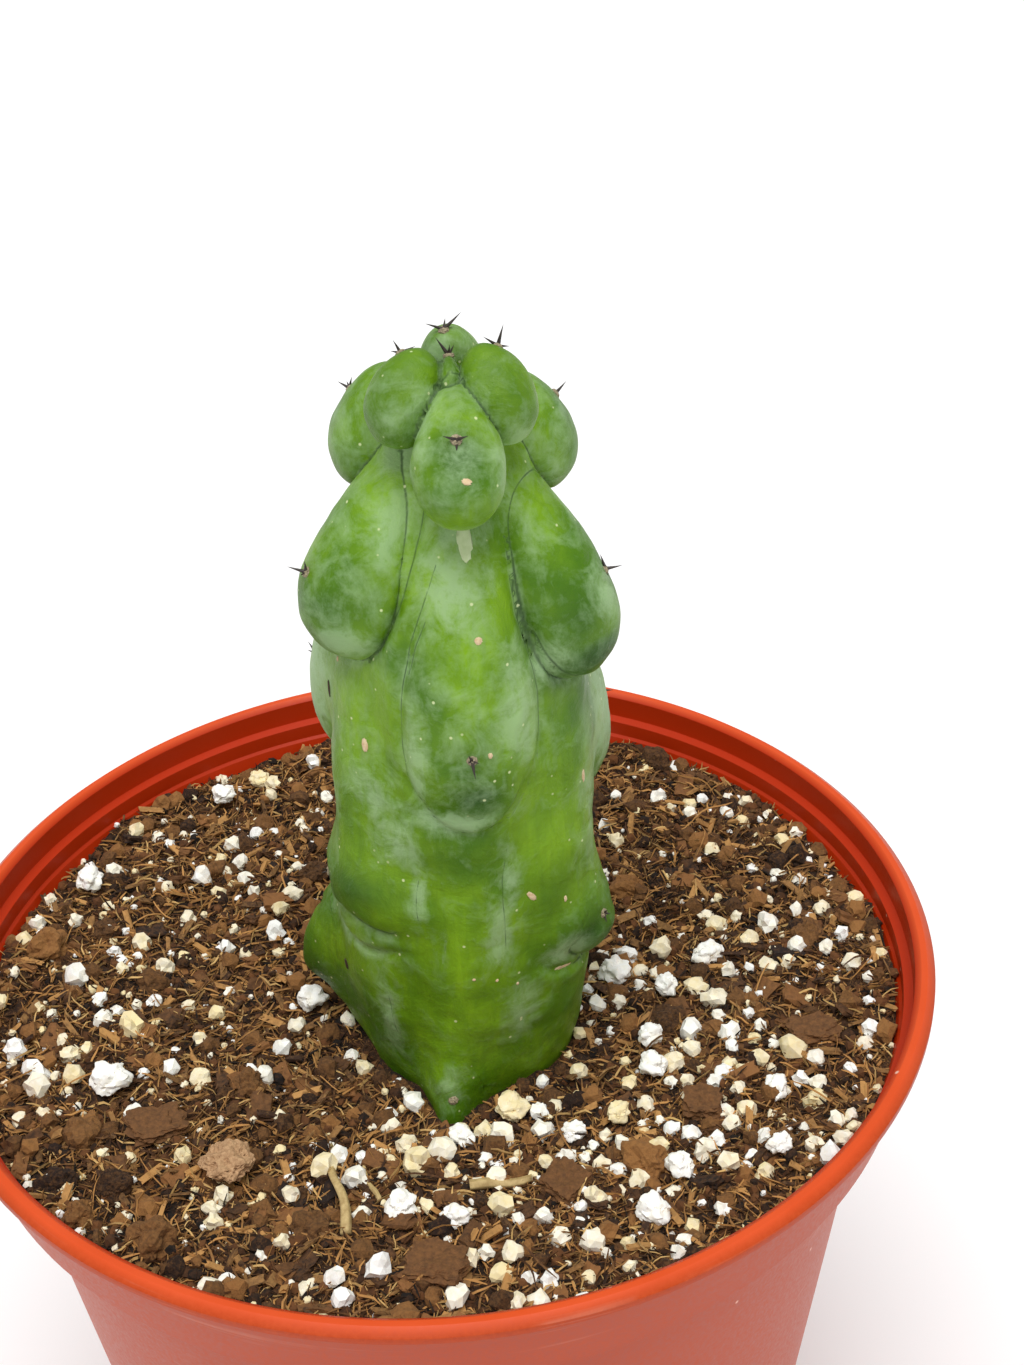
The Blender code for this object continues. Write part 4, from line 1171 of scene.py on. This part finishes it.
class Bed:
    """Where loose pieces may lie: on the mix, inside the wall and clear of the stem."""

    def __init__(self, mix, stem, seed):
        self.ground = surface_of(mix)
        self.skin = surface_of(stem)
        self.draw = random.Random(seed)
        self.taken = []

    def height(self, x, y):
        spot, _, _, _ = self.ground.ray_cast(Vector((x, y, RIM_Z + 0.05)), -UP)
        return spot.z if spot else None

    def free(self, x, y, size, apart):
        edge = RIM_RADIUS - LIP_WIDTH - LEDGE_STEP - size * 0.5 - 0.6 * MM
        level = self.height(x, y)
        if math.hypot(x, y) > edge or level is None:
            return False
        spot = Vector((x, y, level))
        near, normal, _, gap = self.skin.find_nearest(spot)
        if gap < size * 0.45 or (spot - near).dot(normal) < 0.0:
            return False
        return not apart or all(
            math.hypot(x - tx, y - ty) > (size + ts) * 0.5 * apart for tx, ty, ts in self.taken
        )

    def placing(self, x, y, size, lift, tilt):
        draw = self.draw
        turn = Euler((draw.uniform(-tilt, tilt), draw.uniform(-tilt, tilt), draw.uniform(0.0, math.tau)))
        spot = Vector((x, y, self.height(x, y) + size * lift))
        return Matrix.Translation(spot) @ turn.to_matrix().to_4x4() @ Matrix.Scale(size, 4)

    def spread(self, count, sizes, lift, tilt, apart=0.0, centre=(0.0, 0.0), reach=None, keep=False):
        """Random placings over the bed, or round one centre; those kept hold their ground."""
        made = []
        tries = 0
        while len(made) < count and tries < count * 12:
            tries += 1
            if reach:
                x = centre[0] + self.draw.gauss(0.0, reach)
                y = centre[1] + self.draw.gauss(0.0, reach)
            else:
                radius = RIM_RADIUS * math.sqrt(self.draw.random())
                angle = self.draw.uniform(0.0, math.tau)
                x, y = radius * math.cos(angle), radius * math.sin(angle)
            size = self.draw.uniform(*sizes) * MM
            if not self.free(x, y, size, apart):
                continue
            if keep:
                self.taken.append((x, y, size))
            made.append((
                self.draw.randrange(1000), self.placing(x, y, size, lift, tilt), self.draw.random(),
            ))
        return made


def strew(bed, finishes):
    """Strews the fine stuff over the mix, one object for each kind."""
    crumbs = [broken_grain(seed, 1, 0.35) for seed in range(6)]
    strands = [fibre_shape(seed, 0.06, 0.14, 4) for seed in range(8)]
    shapes = {
        "peat_crumbs": crumbs,
        "coir_wisps": [fibre_shape(seed, 0.022, 0.22, 7) for seed in range(20, 26)],
        "peat_nuggets": [broken_grain(seed, 4, 0.30, 0.25) for seed in range(90, 94)],
        "peat_clods": [broken_grain(seed, 2, 0.40) for seed in range(110, 118)],
        "bark_bits": [chip_shape(seed) for seed in range(6)],
        "coir_chips": [chip_shape(seed, 0.5, 1) for seed in range(40, 48)],
    }
    for name, slot, count, sizes, lift, tilt, apart in STREWN:
        wanted = count if apart else int(count * THINNED)
        placings = bed.spread(wanted, sizes, lift, tilt, apart=apart)
        finish_piece(scatter(name, shapes.get(name, strands), placings), slot, finishes[name])


def make_perlite(bed, perlite):
    """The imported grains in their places, and the finer ones between them and in drifts."""
    grains = [broken_grain(seed, 4, 0.30, 0.30) for seed in range(50, 58)]
    for number in range(1, PACKED_GRAINS + 1):
        node = "perlite_grain_%02d" % number
        low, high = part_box(node)
        centre, size = (low + high) / 2, (high - low).length / 1.5
        bed.taken.append((centre.x, centre.y, size))
        squashed = Matrix.Diagonal((size, size * 0.85, size * 0.72, 1.0))
        place = Matrix.Translation(centre) @ Matrix.Rotation(number * 1.7, 4, "Z") @ squashed
        white = 0.1 if number in YELLOWED_GRAINS else 0.8
        grain = smooth(scatter("perlite_%02d" % number, grains, [(number, place, white)]), 40)
        finish_piece(grain, "perlite", perlite, node)
    specks = [broken_grain(seed, 2, 0.40) for seed in range(70, 80)]
    small = bed.spread(int(LOOSE_PERLITE * THINNED), (1.2, 3.6), 0.28, 3.0, apart=0.85, keep=True)
    for x, y, count, reach in PERLITE_DRIFTS:
        small += bed.spread(
            count, (1.6, 4.6), 0.28, 3.0, apart=0.8, centre=(x * MM, y * MM), reach=reach * MM, keep=True,
        )
    small += bed.spread(int(PERLITE_DUST * THINNED), (0.5, 1.4), 0.5, 3.0)
    finish_piece(scatter("perlite_small", specks, small), "perlite", perlite)


def fit_in_box(points, node):
    """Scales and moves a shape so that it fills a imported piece's box."""
    low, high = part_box(node)
    small, large = points.min(axis=0), points.max(axis=0)
    share = (points - small) / (large - small)
    return np.array(low) + share * (np.array(high) - np.array(low))


def torn_block(seed, twist):
    """A block split from bark, its layers and ends torn, lying turned on the mix."""
    block = cut_block(15)
    for vert in block.data.vertices:
        layer = noise.noise(Vector((vert.co.x * 2.0, vert.co.y * 2.0, vert.co.z * 9.0 + seed)))
        ends = noise.noise(vert.co * 3.5 + along_x(seed))
        round_off = 1.0 - 0.28 * (vert.co.length / 0.866) ** 4
        vert.co.x *= round_off * (1.0 + 0.16 * layer + 0.25 * ends)
        vert.co.y *= round_off * (1.0 + 0.20 * layer + 0.22 * ends)
        vert.co.z *= round_off * (1.0 + 0.35 * ends)
        vert.co += vert.co.normalized() * 0.10 * noise.noise(vert.co * 9.0 + along_z(seed))
    block.data.transform(Matrix.Rotation(math.radians(twist), 4, "Z"))
    return shape_data(block)


def dry_stem(seed, radius, ribs):
    """A dry stalk one unit long, slightly bent, ribbed along its length and torn at one end."""
    stalk = start_with(bpy.ops.mesh.primitive_cylinder_add, vertices=14, radius=radius, depth=1.0)
    cut_across(stalk, [cut / 14 - 0.5 for cut in range(1, 14)])
    for vert in stalk.data.vertices:
        turn = math.atan2(vert.co.y, vert.co.x)
        along = vert.co.z + 0.5
        rib = 1.0 + 0.18 * math.sin(turn * ribs) + 0.25 * noise.noise(vert.co * 6.0 + along_x(seed))
        vert.co.x = vert.co.x * rib * (1.0 - 0.35 * along) + 0.05 * math.sin(along * 5.0 + seed)
        vert.co.y = vert.co.y * rib * (1.0 - 0.35 * along) + 0.03 * math.sin(along * 7.0 + seed)
        vert.co.z += 0.05 * math.sin(turn * 3.0) * along ** 6
    stalk.data.transform(Matrix.Rotation(math.radians(90.0), 4, "Y"))
    return shape_data(stalk)


def make_loose_pieces(bark, clay, straw):
    """The larger chips, the clay clod and the dry sticks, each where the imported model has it."""
    for number, twist in enumerate((20, -15, 50, 80, 10), 1):
        node = "bark_chip_%d" % number
        points, faces = torn_block(number * 5, twist)
        chip = scatter("bark_%d" % number, [(fit_in_box(points, node), faces)], [(0, Matrix(), 0.5)])
        finish_piece(chip, "bark", bark, node)
    points, faces = broken_grain(31, 5, 0.40, 0.5)
    clod = scatter("clay_lump", [(fit_in_box(points, "clay_clod"), faces)], [(0, Matrix(), 0.6)])
    finish_piece(clod, "clay", clay, "clay_clod")
    for number, (node, turn) in enumerate((("straw_stick", 100), ("thin_twig", 110), ("wood_sliver", 6))):
        low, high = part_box(node)
        length = (high - low).length * 0.98
        thick = min(high - low) / length
        shape = dry_stem(number + 3, thick * 0.48, 4 + number)
        laid = Matrix.Translation((low + high) / 2) @ Matrix.Rotation(math.radians(turn), 4, "Z")
        stick = scatter("dry_" + node, [shape], [(0, laid @ Matrix.Scale(length, 4), 0.6)])
        finish_piece(smooth(stick), "dry_wood", straw, node)


def main():
    make_camera()
    make_studio()
    make_pot(pot_plastic())
    stem = make_stem(cactus_skin())
    skin = surface_of(stem)

    # Spine horn is dark and faintly glossy, areole felt is short pale wool
    horn = flat_grained("dark_spine_horn", "#1d1815", "#4a4038", 0.5, 0.45, 0.02)
    felt = flat_grained("areole_felt", "#3c3022", "#cdbf9c", 0.3, 0.95, 0.1)
    for seed, (name, spot, spines) in enumerate(CLUSTERS):
        make_cluster(name, spot, spines, skin, seed, horn, felt)

    # Healed skin: tan cork, near-black scab and a smooth pale scar
    cork = flat_grained("corky_scar", "#c9a070", "#f2e3bd", 0.5, 0.8, 0.08)
    scab = flat_grained("dark_scab", "#1c1410", "#5a4630", 0.5, 0.8, 0.1)
    pale_scar = flat_grained("pale_scar", "#b9cf8e", "#d9e6ba", 0.8, 0.5, 0.03)
    make_marks("corky_scars", CORKY_SCARS, skin, cork)
    make_marks("dark_scabs", DARK_SCABS, skin, scab)
    make_marks("pale_scar", PALE_SCARS, skin, pale_scar)

    # Peat is damp and dark, its fibres are paler the drier they lie, and coconut husk and pine
    # bark are torn chips in warmer browns
    fibre_dark = flat_grained("rotted_peat_fibre", "#120802", "#5e3a1a", 1.0, 0.9, 0.05, tinted=True)
    fibre = flat_grained("brown_peat_fibre", "#4a2c12", "#c08c4e", 1.0, 0.85, 0.05, tinted=True)
    fibre_pale = flat_grained("dry_peat_fibre", "#6b4722", "#d2ab6a", 1.0, 0.8, 0.05, tinted=True)
    nugget = flat_grained("peat_nugget", "#241206", "#946636", 0.5, 0.95, 0.5, tinted=True)
    bark = flat_grained("pine_bark", "#1c0d05", "#8a5c30", 0.7, 0.85, 0.3, tinted=True)
    bed = Bed(make_mix(matted_peat()), stem, 11)
    strew(bed, {
        "peat_crumbs": flat_grained("peat_crumb", "#120802", "#6a4220", 0.8, 0.95, 0.2, tinted=True),
        "peat_fibres_1": fibre_dark,
        "peat_fibres_2": fibre,
        "peat_fibres_3": fibre,
        "peat_fibres_4": fibre_dark,
        "peat_fibres_5": fibre_pale,
        "coir_wisps": fibre,
        "peat_nuggets": nugget,
        "peat_clods": nugget,
        "bark_bits": bark,
        "coir_chips": flat_grained("coconut_husk_chip", "#38200e", "#bd8c50", 0.6, 0.85, 0.1, tinted=True),
    })

    # Expanded perlite is a chalky white foam; yellowed grains have a low tint
    make_perlite(bed, flat_grained("expanded_perlite", "#f1dfac", "#fffffa", 1.2, 0.9, 0.15, tinted=True))

    # Dry tan clay, and straw bleached by the sun
    clay = flat_grained("tan_clay", "#7a5434", "#dcb488", 0.5, 0.95, 0.3)
    straw = flat_grained("dry_straw", "#8a6a38", "#e2c98e", 1.2, 0.7, 0.08)
    make_loose_pieces(bark, clay, straw)


main()
